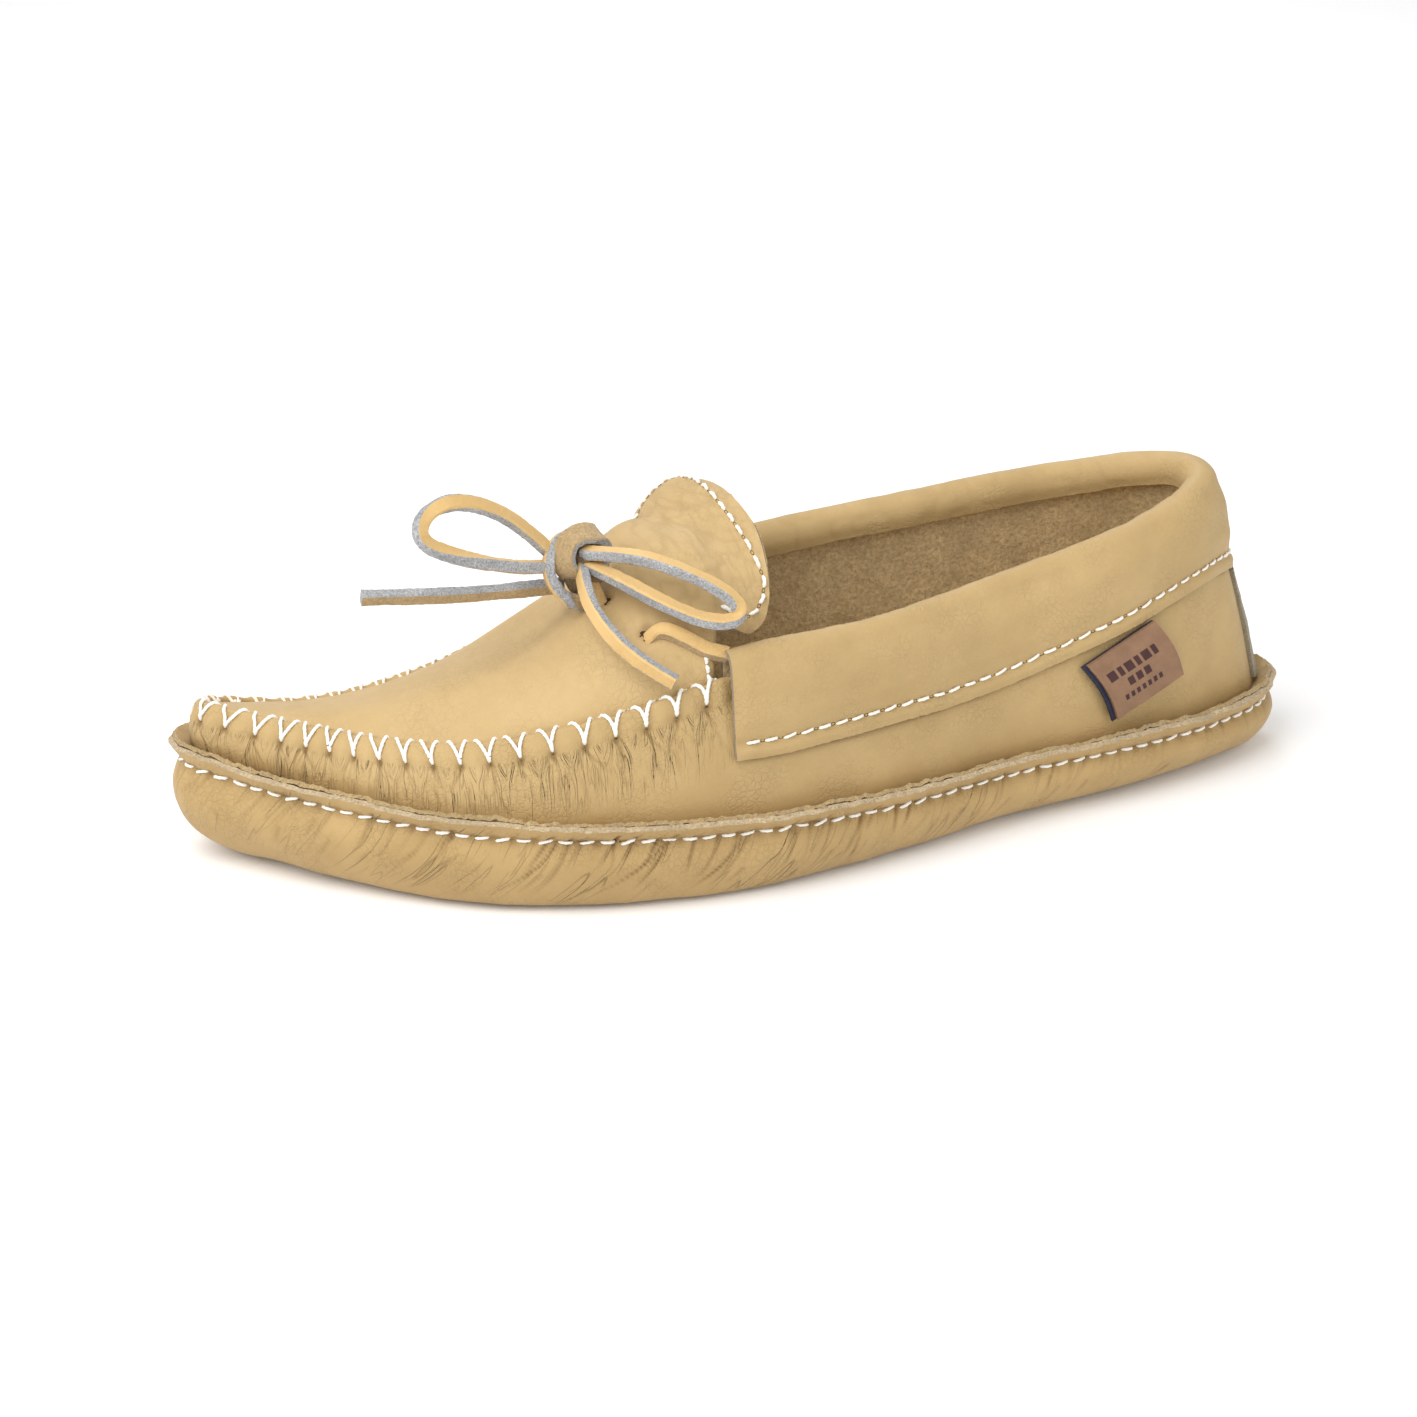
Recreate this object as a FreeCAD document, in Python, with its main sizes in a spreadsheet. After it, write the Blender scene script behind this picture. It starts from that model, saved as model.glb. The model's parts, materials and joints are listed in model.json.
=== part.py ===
"""A left, soft-soled leather moccasin with a tied bow, as a parametric document.

Frame: +X to the toe, +Y to the wearer's left (the outer side of a left shoe), +Z up.
The origin is on the ground, under the middle of the sole.
"""
import FreeCAD, Part
import math
import os
import Sketcher

Vector = FreeCAD.Vector

doc = FreeCAD.newDocument("Moccasin")
sheet = doc.addObject("Spreadsheet::Sheet", "Dimensions")

# ---------------------------------------------------------------- driving dimensions, in mm
DIMENSIONS = [
    ("sole_length", 284, "heel to toe along the sole seam"),
    ("ball_width", 100, "across the ball of the foot, seam to seam"),
    ("heel_height", 80, "ground to the top of the collar at the heel"),
    ("outsole_thick", 2.5, "outsole leather"),
    ("upper_thick", 1.8, "leather of the wall, plug and tongue"),
    ("cuff_thick", 1.5, "leather of the folded collar"),
    ("lining_thick", 1.0, "suede lining under the tongue"),
    ("foam_thick", 6, "foam pad on the outsole"),
    ("insole_thick", 2, "suede inner sole"),
    ("flange_out", 2.8, "how far the cut edge of the sole stands outside the seam"),
    ("flange_rise", 3.8, "how far the cut edge of the sole stands above the seam"),
    ("roll_radius", 4.5, "outside of the rolled top edge"),
    ("roll_depth", 3.5, "how far the collar reaches down inside, below the roll"),
    ("lace_width", 3.5, "cut rawhide lace"),
    ("thread_size", 0.9, "waxed thread"),
    ("stitch_pitch", 4.9, "running stitches, hole to hole"),
    ("whip_pitch", 7.5, "whip stitches of the plug, hole to hole"),
    ("label_width", 22, "woven label, along the shoe"),
    ("label_drop", 16.2, "woven label, downward"),
    ("label_thick", 1.1, "face of the label"),
    ("backing_thick", 0.7, "backing of the label"),
    ("label_margin", 1.2, "how far the backing shows past the face at the front edge"),
    ("strip_width", 16, "strip over the back seam"),
    ("strip_thick", 1.4, "strip over the back seam"),
    ("knot_long", 7, "half of the knot, along the shoe"),
    ("knot_wide", 6, "half of the knot, across the shoe"),
    ("knot_tall", 8.2, "half of the knot's height"),
]
for row, (alias, value, note) in enumerate(DIMENSIONS, start=1):
    sheet.set("A%d" % row, alias)
    sheet.set("B%d" % row, str(value))
    sheet.set("C%d" % row, note)
    sheet.setAlias("B%d" % row, alias)
doc.recompute()


def size(alias):
    """The value of one driving dimension."""
    return float(sheet.get(alias))


LENGTH = size("sole_length")
WIDTH = size("ball_width")
HEIGHT = size("heel_height")
HEEL_X = -LENGTH / 2
SOLE = size("outsole_thick")
UPPER = size("upper_thick")
CUFF = size("cuff_thick")
ROLL = size("roll_radius")
LACE = size("lace_width")
THREAD = size("thread_size")

# ---------------------------------------------------------------- the lines that shape the shoe
# One row for each station, from the back of the heel round the outer side to the toe and back
# along the inner side. Along is a share of the sole's length, across a share of the ball's width,
# heights are shares of the heel's height and insets shares of the ball's width.
# Columns: along, across, seam height, contact inset, wall inset, wall height, cuff height
STATIONS = [
    (0.000, 0.01, 0.169, 0.130, 0.220, 0.882, 0.610),
    (0.021, 0.13, 0.169, 0.130, 0.180, 0.874, 0.630),
    (0.077, 0.22, 0.169, 0.140, 0.112, 0.852, 0.640),
    (0.180, 0.30, 0.175, 0.130, 0.088, 0.794, 0.568),
    (0.306, 0.345, 0.181, 0.110, 0.110, 0.702, 0.465),
    (0.440, 0.43, 0.188, 0.085, 0.115, 0.658, 0.432),
    (0.581, 0.48, 0.213, 0.065, 0.115, 0.652, 0.428),
    (0.697, 0.44, 0.231, 0.065, 0.105, 0.560, 0.425),
    (0.806, 0.32, 0.250, 0.080, 0.100, 0.487, 0.400),
    (0.891, 0.12, 0.275, 0.110, 0.085, 0.470, 0.400),
    (0.960, -0.10, 0.300, 0.160, 0.060, 0.490, 0.400),
    (1.000, -0.27, 0.322, 0.200, 0.045, 0.505, 0.400),
    (0.984, -0.40, 0.305, 0.190, 0.055, 0.455, 0.400),
    (0.898, -0.49, 0.262, 0.140, 0.080, 0.385, 0.400),
    (0.775, -0.53, 0.235, 0.110, 0.105, 0.415, 0.400),
    (0.644, -0.515, 0.225, 0.100, 0.120, 0.555, 0.420),
    (0.475, -0.43, 0.206, 0.100, 0.115, 0.705, 0.435),
    (0.317, -0.36, 0.188, 0.110, 0.110, 0.782, 0.470),
    (0.176, -0.31, 0.175, 0.130, 0.088, 0.820, 0.556),
    (0.074, -0.22, 0.169, 0.140, 0.112, 0.855, 0.640),
    (0.021, -0.11, 0.169, 0.130, 0.180, 0.874, 0.630),
]
CUFF_START = 0.2855         # share of the way round, where the collar begins on the outer side
CUFF_END = 0.7245           # where it ends on the inner side
TOE_TIP = 0.513             # the foremost point of the seam
RING_POINTS = 64
# The line from the heel's middle to the toe's, which every offset points away from.
SPINE = ((0.15, 0.0), (0.835, -0.19))
BULGE_OUT = 2.2             # how far the sole's side swells past the seam
BULGE_SHARE = 0.75          # where it is widest, as a share of the seam's height


def station_point(row):
    along, across = row[0], row[1]
    return (HEEL_X + LENGTH * along, WIDTH * across)


def outward(row):
    """The direction from the nearest place on the spine to a station."""
    x, y = station_point(row)
    heel, toe = (station_point(end) for end in SPINE)
    reach = min(max((x - heel[0]) / (toe[0] - heel[0]), 0), 1)
    dx = x - heel[0] - reach * (toe[0] - heel[0])
    dy = y - heel[1] - reach * (toe[1] - heel[1])
    return (dx / math.hypot(dx, dy), dy / math.hypot(dx, dy))


def station_marks():
    """How far round the seam each station is, from 0 to 1, and the whole distance."""
    marks = [0.0]
    for index in range(len(STATIONS)):
        here = station_point(STATIONS[index])
        ahead = station_point(STATIONS[(index + 1) % len(STATIONS)])
        marks.append(marks[-1] + math.dist(here, ahead))
    return [mark / marks[-1] for mark in marks]


MARKS = station_marks()
RING_LENGTH = sum(math.dist(station_point(a), station_point(b))
                  for a, b in zip(STATIONS, STATIONS[1:] + STATIONS[:1]))


def blend(share):
    """The columns of STATIONS at any share of the way round, on one smooth closed line."""
    share = share % 1.0
    count = len(STATIONS)
    index = max(i for i in range(count) if MARKS[i] <= share)
    span = [MARKS[i + 1] - MARKS[i] for i in range(count)]
    rows = [STATIONS[(index + step) % count] for step in (-1, 0, 1, 2)]
    rows = [row + outward(row) for row in rows]
    before, width, after = span[index - 1], span[index], span[(index + 1) % count]
    f = (share - MARKS[index]) / width
    columns = []
    for a, b, c, d in zip(*rows):
        slope = (c - b) / width
        start = (before * slope + width * (b - a) / before) / (before + width)
        end = (width * (d - c) / after + after * slope) / (width + after)
        columns.append(b * (1 + 2 * f) * (1 - f) ** 2 + c * f * f * (3 - 2 * f)
                       + width * (start * f * (1 - f) ** 2 - end * f * f * (1 - f)))
    return columns


def place(share, offset, height):
    """The point a given offset outside the seam line and a given height above the ground."""
    columns = blend(share)
    x, y = station_point(columns)
    dx, dy = columns[-2:]
    reach = offset / math.hypot(dx, dy)
    return Vector(x + dx * reach, y + dy * reach, height)


def shift(line, distance):
    """A copy of an (offset, height) line, moved to its left by a distance."""
    shifted = []
    for index, (u, w) in enumerate(line):
        sides = []
        for a, b in ((index - 1, index), (index, index + 1)):
            if a >= 0 and b < len(line):
                du, dw = line[b][0] - line[a][0], line[b][1] - line[a][1]
                sides.append((-dw / math.hypot(du, dw), du / math.hypot(du, dw)))
        nu = sum(side[0] for side in sides) / len(sides)
        nw = sum(side[1] for side in sides) / len(sides)
        reach = math.hypot(nu, nw)
        miter = min(1 / reach, 1.3)
        shifted.append((u + distance * miter * nu / reach, w + distance * miter * nw / reach))
    return shifted


# ---------------------------------------------------------------- cross-section lines (offset, height)
def sole_line(share):
    """The outside of the outsole, from the flat bottom to the cut edge."""
    columns = blend(share)
    seam, inset = HEIGHT * columns[2], WIDTH * columns[3]
    line = []
    for angle in (0, 30, 60, 90):
        turn = math.radians(angle)
        offset = -inset + (inset + BULGE_OUT) * math.sin(turn)
        line.append((offset, BULGE_SHARE * seam * (1 - math.cos(turn))))
    line.append((0, seam))
    line.append((size("flange_out"), seam + size("flange_rise")))
    return line


def wall_line(share):
    """The outside of the upper, from its own cut edge down into the seam and up the wall."""
    columns = blend(share)
    seam, inset, top = HEIGHT * columns[2], WIDTH * columns[4], HEIGHT * columns[5]
    fold = shift([(0, seam), (size("flange_out"), seam + size("flange_rise"))], SOLE + UPPER)
    foot_out, foot_up = fold[0]
    line = [fold[1], fold[0]]
    for part, swell in ((0.3, 1.3), (0.65, 1.6), (1.0, 0.0)):
        line.append((foot_out + (-inset - foot_out) * part + swell, foot_up + (top - foot_up) * part))
    return line


def wall_offset(share, height):
    """The offset of the outside of the wall at a height."""
    line = wall_line(share)[1:]
    for (u0, w0), (u1, w1) in zip(line, line[1:]):
        if height <= w1:
            return u0 + (u1 - u0) * (height - w0) / (w1 - w0)
    return line[-1][0]


def roll_centre(share):
    """The middle of the rolled top edge."""
    inset, top = WIDTH * blend(share)[4], HEIGHT * blend(share)[5]
    return (-inset - UPPER / 2, top + ROLL - CUFF)


def collar_line(share):
    """The outside of the collar: up the cuff, over the roll and down inside."""
    cuff = HEIGHT * blend(share)[6]
    u, w = roll_centre(share)
    lift = CUFF + 0.1
    line = [(wall_offset(share, cuff) + lift, cuff)]
    middle = (cuff + w) / 2
    line.append((max(wall_offset(share, middle) + lift, (line[0][0] + u + ROLL) / 2), middle))
    for angle in (0, 45, 90, 135, 180):
        turn = math.radians(angle)
        line.append((u + ROLL * math.cos(turn), w + ROLL * math.sin(turn)))
    line.append((u - ROLL + 0.5, w - size("roll_depth")))
    return line


# ---------------------------------------------------------------- solids from those lines
def smooth_wire(points, closed):
    curve = Part.BSplineCurve()
    curve.interpolate(points, PeriodicFlag=closed)
    return Part.Wire([curve.toShape()])


def ring(line_at, index):
    points = []
    for step in range(RING_POINTS):
        share = step / RING_POINTS
        offset, height = line_at(share)[index]
        points.append(place(share, offset, height))
    return smooth_wire(points, True)


def sheet_section(outer, inner):
    """A closed face outline from an outer and an inner line of points."""
    edges = [Part.BSplineCurve(), Part.BSplineCurve()]
    edges[0].interpolate(outer)
    edges[1].interpolate(inner)
    return Part.Wire([edges[0].toShape(), Part.LineSegment(outer[-1], inner[-1]).toShape(),
                      edges[1].toShape().reversed(), Part.LineSegment(inner[0], outer[0]).toShape()])


def polygon_section(points):
    """A closed polygon, flattened onto the plane through three of its points."""
    low, high, inside = points[0], points[3], points[len(points) // 2 - 2]
    normal = (high - low).cross(inside - low).normalize()
    flat = [point - normal * normal.dot(point - low) for point in points]
    return Part.makePolygon(flat + flat[:1])


def add_shape(name, shape):
    piece = doc.addObject("Part::Feature", name)
    piece.Label = name
    piece.Shape = shape
    piece.Placement = FreeCAD.Placement()
    return piece


def make_outsole():
    """A dished sole: a flat bottom, turned-up sides and a cut edge that stands out."""
    def both(share):
        line = sole_line(share)
        inner = shift(line, SOLE)
        inner[0] = (inner[0][0], SOLE)
        return line + inner[::-1]
    rings = [ring(both, index) for index in range(len(both(0)))]
    return add_shape("outsole", Part.makeLoft(rings, True, True))


def make_upper_wall():
    """The wall of the upper, a closed band round the whole shoe."""
    def both(share):
        line = wall_line(share)
        return line + shift(line, UPPER)[::-1]
    rings = [ring(both, index) for index in range(len(both(0)))]
    return add_shape("upper_wall", Part.makeLoft(rings, True, True, True))


# Each pad's lower edge, inward of the flat bottom's edge, and its upper one, inward of the seam.
FOAM_INSETS = (0.6, 6.0)
INSOLE_INSETS = (-4.3, 5.6)


def make_pad(name, low, high, low_inset, side_inset):
    """A flat pad inside the sole, with its lower edge cut back to the sole's round turn."""
    def line_at(share):
        inset = WIDTH * blend(share)[3]
        return [(-inset - low_inset, low), (-side_inset, high)]
    rings = [ring(line_at, 0), ring(line_at, 1)]
    return add_shape(name, Part.makeLoft(rings, True, True))


def make_collar():
    """The folded collar, open across the throat."""
    sections = []
    count = 40
    for step in range(count + 1):
        share = CUFF_START - step / count * (CUFF_START + 1 - CUFF_END)
        outer = collar_line(share)
        closed = outer + shift(outer, CUFF)[::-1]
        sections.append(polygon_section([place(share, *point) for point in closed]))
    return add_shape("collar", Part.makeLoft(sections, True, True))


# ---------------------------------------------------------------- plug and tongue
# Middle line of the plug from the toe back, as shares: along, across and height, then the bend of
# the cross-section (2 is a parabola, more has squarer shoulders).
CROWN = [
    (0.978, -0.260, 0.505, 2.0),
    (0.920, -0.180, 0.485, 2.0),
    (0.856, -0.110, 0.510, 2.0),
    (0.790, -0.070, 0.590, 2.1),
    (0.722, -0.045, 0.690, 2.2),
    (0.665, -0.030, 0.815, 2.3),
    (0.592, -0.010, 0.985, 2.5),
]
# The tongue from its hinge to its round end: along, crown height, half width, and the heights of
# its outer and inner side edges; it leans to the outer side.
TONGUE = [
    (0.592, 0.985, 0.275, 0.810, 0.820),
    (0.567, 1.025, 0.278, 0.735, 0.905),
    (0.546, 1.042, 0.272, 0.715, 0.930),
    (0.528, 1.040, 0.215, 0.850, 0.955),
]
HINGE_GAP = 0.8             # between the plug and the tongue
TONGUE_SKEW = 0.13          # how far the outer side of the tongue reaches further back
TONGUE_BEND = 3.0           # how square the shoulders of its arch are
PLUG_PARTS = (0.06, 0.17, 0.33, 0.5, 0.67, 0.83, 1.0)     # where the plug's cross-sections are


def arch(left, right, crown, bend, drop):
    """A cross-section line from one edge over the crown to the other, lowered by a distance."""
    middle = (left + right) / 2
    points = []
    count = 12
    for step in range(count + 1):
        v = math.sin(math.pi * (step / count - 0.5))
        rise = (1 - abs(v) ** bend) ** (2 / bend)
        flat = middle + (right - left) * (v / 2)
        lean = (crown - middle) * rise
        points.append(flat + lean - Vector(0, 0, drop))
    return points


def plug_edge(share):
    """The edge of the plug, tucked just inside the top of the wall."""
    columns = blend(share)
    tuck = 0.6
    return place(share, -WIDTH * columns[4] - UPPER - 0.1, HEIGHT * columns[5] - tuck)


def throat_share(low, high):
    """How far round the plug's edge reaches the throat, found by halving."""
    throat_x = HEEL_X + LENGTH * CROWN[-1][0]
    toeward = plug_edge(high).x > plug_edge(low).x
    for _ in range(30):
        middle = (low + high) / 2
        if (plug_edge(middle).x < throat_x) == toeward:
            low = middle
        else:
            high = middle
    return (low + high) / 2


THROAT_NEAR = throat_share(0.2, 0.4)
THROAT_FAR = throat_share(0.6, 0.8)


def plug_section(part, drop):
    """The plug's cross-section; part is 0 at the toe and 1 at the throat."""
    near = plug_edge(TOE_TIP + (THROAT_NEAR - TOE_TIP) * part)
    far = plug_edge(TOE_TIP + (THROAT_FAR - TOE_TIP) * part)
    position = part * (len(CROWN) - 1)
    index = min(int(position), len(CROWN) - 2)
    f = position - index
    row = [a + (b - a) * f for a, b in zip(CROWN[index], CROWN[index + 1])]
    crown = Vector(HEEL_X + LENGTH * row[0], WIDTH * row[1], HEIGHT * row[2])
    if part in (PLUG_PARTS[0], PLUG_PARTS[-1]):
        crown = Vector((near.x + far.x) / 2, (near.y + far.y) / 2, crown.z)
    return arch(near, far, crown, row[3], drop)


def plug_shape(low, high):
    """The domed plug, from just inside the toe ridge to the throat, between two depths."""
    sections = [sheet_section(plug_section(part, low), plug_section(part, high)) for part in PLUG_PARTS]
    return Part.makeLoft(sections, True, False)


def tongue_line(index, grow, drop):
    """One cross-section line of the tongue, widened and lowered."""
    along, height, half, near_foot, far_foot = TONGUE[index]
    x = HEEL_X + LENGTH * along
    skew = TONGUE_SKEW
    if index == 0:
        x -= HINGE_GAP
        skew = 0
    if index == len(TONGUE) - 1:
        x -= grow
    reach = WIDTH * half + grow
    near = Vector(x - skew * reach, reach, HEIGHT * near_foot)
    far = Vector(x + skew * reach, -reach, HEIGHT * far_foot)
    return arch(near, far, Vector(x, 0, HEIGHT * height), TONGUE_BEND, drop)


def tongue_shape(low, high, grow):
    """The arched tongue between two depths."""
    sections = []
    for index in range(len(TONGUE)):
        sections.append(sheet_section(tongue_line(index, grow, low), tongue_line(index, grow, high)))
    return Part.makeLoft(sections, True, True)


# ---------------------------------------------------------------- lace
def cord_path(points):
    """Straight runs joined by the largest tangent arcs that they allow, and the smallest radius."""
    edges = []
    start = points[0]
    smallest = None
    for before, corner, after in zip(points, points[1:], points[2:]):
        back, ahead = (before - corner), (after - corner)
        trim = 0.45 * min(back.Length, ahead.Length)
        back.normalize()
        ahead.normalize()
        turn = math.pi - back.getAngle(ahead)
        radius = trim / math.tan(turn / 2)
        smallest = radius if smallest is None else min(smallest, radius)
        enter, leave = corner + back * trim, corner + ahead * trim
        inward = (back + ahead).normalize()
        centre = corner + inward * math.hypot(radius, trim)
        middle = centre - inward * radius
        edges.append(Part.LineSegment(start, enter).toShape())
        edges.append(Part.Arc(enter, middle, leave).toShape())
        start = leave
    edges.append(Part.LineSegment(start, points[-1]).toShape())
    return Part.Wire(edges), smallest


def cord_shape(name, points, diameter):
    """A round tube along a route; its volume is compared with its section times its length."""
    path, smallest = cord_path(points)
    first = points[1] - points[0]
    circle = Part.Wire([Part.Circle(points[0], first, diameter / 2).toShape()])
    tube = path.makePipeShell([circle], True, True)
    wanted = math.pi * diameter ** 2 / 4 * path.Length
    print("%s: length %.1f, smallest radius %.1f, volume %.1f of %.1f"
          % (name, path.Length, smallest, tube.Volume, wanted))
    return tube


def spot(x, y, z):
    """A hand-placed point, given in mm ahead of the back of the sole seam."""
    return Vector(HEEL_X + x, y, z)


KNOT = (191.5, 3.5, 74.0)
LEFT_RUN = [(183.0, 23.5, 65.2), (185.6, 18.5, 60.6), (188.2, 13.0, 61.4), (189.5, 9.5, 67.0),
            (190.5, 6.5, 72.0)]
RIGHT_RUN = [(181.0, -24.0, 65.2), (184.0, -19.0, 60.8), (187.0, -13.0, 61.4), (189.0, -8.5, 67.0),
             (190.5, -3.0, 71.5)]
LOOP_LEFT = [(197.0, 2.0, 76.5), (206.5, 4.0, 88.0), (217.5, 6.0, 94.2), (227.0, 7.5, 95.8),
             (233.5, 8.5, 92.6), (234.0, 9.0, 87.0), (227.0, 9.5, 83.4), (216.0, 9.0, 80.6),
             (205.0, 7.5, 77.8), (198.0, 5.5, 75.8)]
LOOP_RIGHT = [(189.5, 8.5, 77.8), (184.0, 16.0, 79.2), (176.0, 24.0, 77.6), (167.5, 30.5, 73.6),
              (163.0, 34.3, 69.4), (164.6, 35.2, 65.8), (171.6, 32.2, 66.0), (180.0, 26.0, 69.8),
              (186.0, 18.5, 73.2), (189.0, 10.0, 73.6)]
TAIL_LEFT = [(197.5, 0.5, 72.6), (213.0, -1.5, 71.8), (229.0, -2.0, 70.6), (244.5, -4.5, 70.2)]
TAIL_RIGHT = [(193.5, 9.0, 72.6), (194.5, 17.5, 71.6), (192.5, 25.5, 67.6), (187.5, 32.5, 61.0),
              (181.0, 37.8, 54.6)]
SLOT_ROOM = 0.3             # how much wider the plug's slots are than the lace


def collar_run_points():
    """Points round the middle of the collar's roll, from its outer front end to its inner one."""
    points = []
    count = 30
    ahead = 0.004
    for step in range(count + 1):
        share = CUFF_START + ahead - step / count * (CUFF_START + 1 - CUFF_END + 2 * ahead)
        points.append(place(share, *roll_centre(share)))
    return points


# ---------------------------------------------------------------- thread
def stitch(start, end):
    """One straight stitch between two points."""
    span = end - start
    return Part.makeCylinder(THREAD / 2, span.Length, start, span)


def running_stitches(point_at, first, last, pitch):
    """Stitches along a line of points; each fills most of its pitch."""
    fill = 0.72
    count = int(abs(last - first) * RING_LENGTH / pitch)
    stitches = []
    for index in range(count):
        start = first + (last - first) * index / count
        end = start + (last - first) * fill / count
        stitches.append(stitch(point_at(start), point_at(end)))
    return Part.makeCompound(stitches)


def sole_thread_point(share):
    return place(share, THREAD / 3, HEIGHT * blend(share)[2])


def collar_thread_point(share):
    line = collar_line(share)
    above_edge = 4.0
    (u0, w0), (u1, w1) = line[0], line[1]
    part = above_edge / (w1 - w0)
    return place(share, u0 + (u1 - u0) * part + THREAD / 3, w0 + above_edge)


def whip_stitches():
    """Two slanted legs from each hole in the wall, over the ridge and down to the plug."""
    stitches = []
    hole_drop, plug_reach, plug_drop = 4.5, 3.2, 0.2
    pieces = []
    for first, last in ((CUFF_START + 0.012, TOE_TIP), (TOE_TIP, CUFF_END - 0.012)):
        count = round((last - first) * RING_LENGTH / size("whip_pitch"))
        pieces += [(first + (last - first) * (index + 0.5) / count, (last - first) / count)
                   for index in range(count)]
    for share, pitch in pieces:
        top = HEIGHT * blend(share)[5]
        hole = place(share, wall_offset(share, top - hole_drop) + THREAD / 3, top - hole_drop)
        for side in (-0.27, 0.27):
            over = share + side * pitch
            inset, ridge = WIDTH * blend(over)[4], HEIGHT * blend(over)[5]
            top_outer = place(over, -inset + THREAD / 3, ridge)
            top_inner = place(over, -inset - UPPER, ridge + THREAD / 3)
            end = place(over, -inset - plug_reach, ridge + plug_drop)
            for a, b in ((hole, top_outer), (top_outer, top_inner), (top_inner, end)):
                stitches.append(stitch(a, b))
    return Part.makeCompound(stitches)


TACK_PART = 0.95            # where on the plug the tacks are, 1 being the throat
TACK_STARTS = (1.0, 3.2, 5.4)     # up from the plug's edge
TACK_LONG = 1.5


def along_line(points, distance):
    """The place at a distance along a line of points."""
    for start, end in zip(points, points[1:]):
        step = end - start
        if distance <= step.Length:
            return start + step * (distance / step.Length)
        distance -= step.Length
    return points[-1]


def corner_stitches():
    """Three short tacks, one above the other, up each rear corner of the plug."""
    line = plug_section(TACK_PART, -THREAD / 3)
    stitches = []
    for side in (line, line[::-1]):
        for start in TACK_STARTS:
            stitches.append(stitch(along_line(side, start), along_line(side, start + TACK_LONG)))
    return Part.makeCompound(stitches)


def tongue_stitches():
    """Running stitches round the tongue, just inside its edge."""
    inside = 4.0
    path = []
    tip = len(TONGUE) - 1
    for index in (1, 2):
        path.append(tongue_line(index, -inside, -THREAD / 3)[1])
    path += tongue_line(tip, -inside, -THREAD / 3)[1:-1]
    for index in (2, 1):
        path.append(tongue_line(index, -inside, -THREAD / 3)[-2])
    curve = Part.BSplineCurve()
    curve.interpolate(path)
    edge = curve.toShape()
    count = int(edge.Length / size("stitch_pitch"))
    marks = edge.discretize(Number=4 * count + 1)
    stitches = [stitch(marks[4 * index], marks[4 * index + 3]) for index in range(count)]
    return Part.makeCompound(stitches)


# ---------------------------------------------------------------- label and heel strip
LABEL_SHARE = 0.109
LABEL_GAP = 0.5             # label to wall, and label to cuff
LABEL_TILT = 8              # degrees, the front end down
LABEL_TILT_ROOM = 1.8       # how far the tilt lifts the label's upper rear corner
LABEL_SIDE = 0.016          # share from the label's middle to the places its line is taken from


def label_placement():
    """Where the label's top middle lies on the wall, just below the cuff, and how it is turned."""
    cuff = HEIGHT * blend(LABEL_SHARE)[6] - LABEL_GAP - LABEL_TILT_ROOM
    drop = size("label_drop")
    stand = LABEL_GAP + 0.4
    twist = FreeCAD.Rotation(Vector(0, 0, 1), LABEL_TILT)
    top = place(LABEL_SHARE, wall_offset(LABEL_SHARE, cuff) + stand, cuff)
    foot = place(LABEL_SHARE, wall_offset(LABEL_SHARE, cuff - drop) + stand, cuff - drop)
    ends = [place(LABEL_SHARE + side, wall_offset(LABEL_SHARE + side, cuff),
                  HEIGHT * blend(LABEL_SHARE + side)[6]) for side in (-LABEL_SIDE, LABEL_SIDE)]
    along = (ends[1] - ends[0]).normalize()
    up = top - foot
    up = (up - along * up.dot(along)).normalize()
    outward = along.cross(up)
    if outward.y < 0:
        outward = outward * -1
        along = along * -1
    turn = FreeCAD.Matrix(along.x, up.x, outward.x, top.x, along.y, up.y, outward.y, top.y,
                          along.z, up.z, outward.z, top.z)
    return FreeCAD.Placement(turn).multiply(FreeCAD.Placement(Vector(), twist))


def plate_body(name, bounds, thick, start):
    """A rectangular plate padded from a sketch, bound to the sheet; start lifts it off the plane."""
    body = doc.addObject("PartDesign::Body", name)
    body.Label = name
    sketch = body.newObject("Sketcher::SketchObject", name + "_outline")
    plane = [item for item in body.Origin.OriginFeatures if item.Role == "XY_Plane"][0]
    sketch.AttachmentSupport = [(plane, "")]
    sketch.MapMode = "FlatFace"
    left, bottom, right, top = bounds
    corners = [Vector(*corner) for corner in ((left, bottom), (right, bottom), (right, top), (left, top))]
    for a, b in zip(corners, corners[1:] + corners[:1]):
        sketch.addGeometry(Part.LineSegment(a, b), False)
    for index in range(4):
        sketch.addConstraint(Sketcher.Constraint("Coincident", index, 2, (index + 1) % 4, 1))
    for index in (0, 2):
        sketch.addConstraint(Sketcher.Constraint("Horizontal", index))
    for index in (1, 3):
        sketch.addConstraint(Sketcher.Constraint("Vertical", index))
    across = sketch.addConstraint(Sketcher.Constraint("DistanceX", 0, 1, 0, 2, right - left))
    upward = sketch.addConstraint(Sketcher.Constraint("DistanceY", 1, 1, 1, 2, top - bottom))
    sketch.addConstraint(Sketcher.Constraint("DistanceX", -1, 1, 1, 1, right))
    sketch.addConstraint(Sketcher.Constraint("DistanceY", -1, 1, 2, 1, top))
    pad = body.newObject("PartDesign::Pad", name + "_pad")
    pad.Profile = sketch
    pad.Length = thick
    sketch.AttachmentOffset = FreeCAD.Placement(Vector(0, 0, start), FreeCAD.Rotation())
    return body, sketch, pad, across, upward


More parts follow.
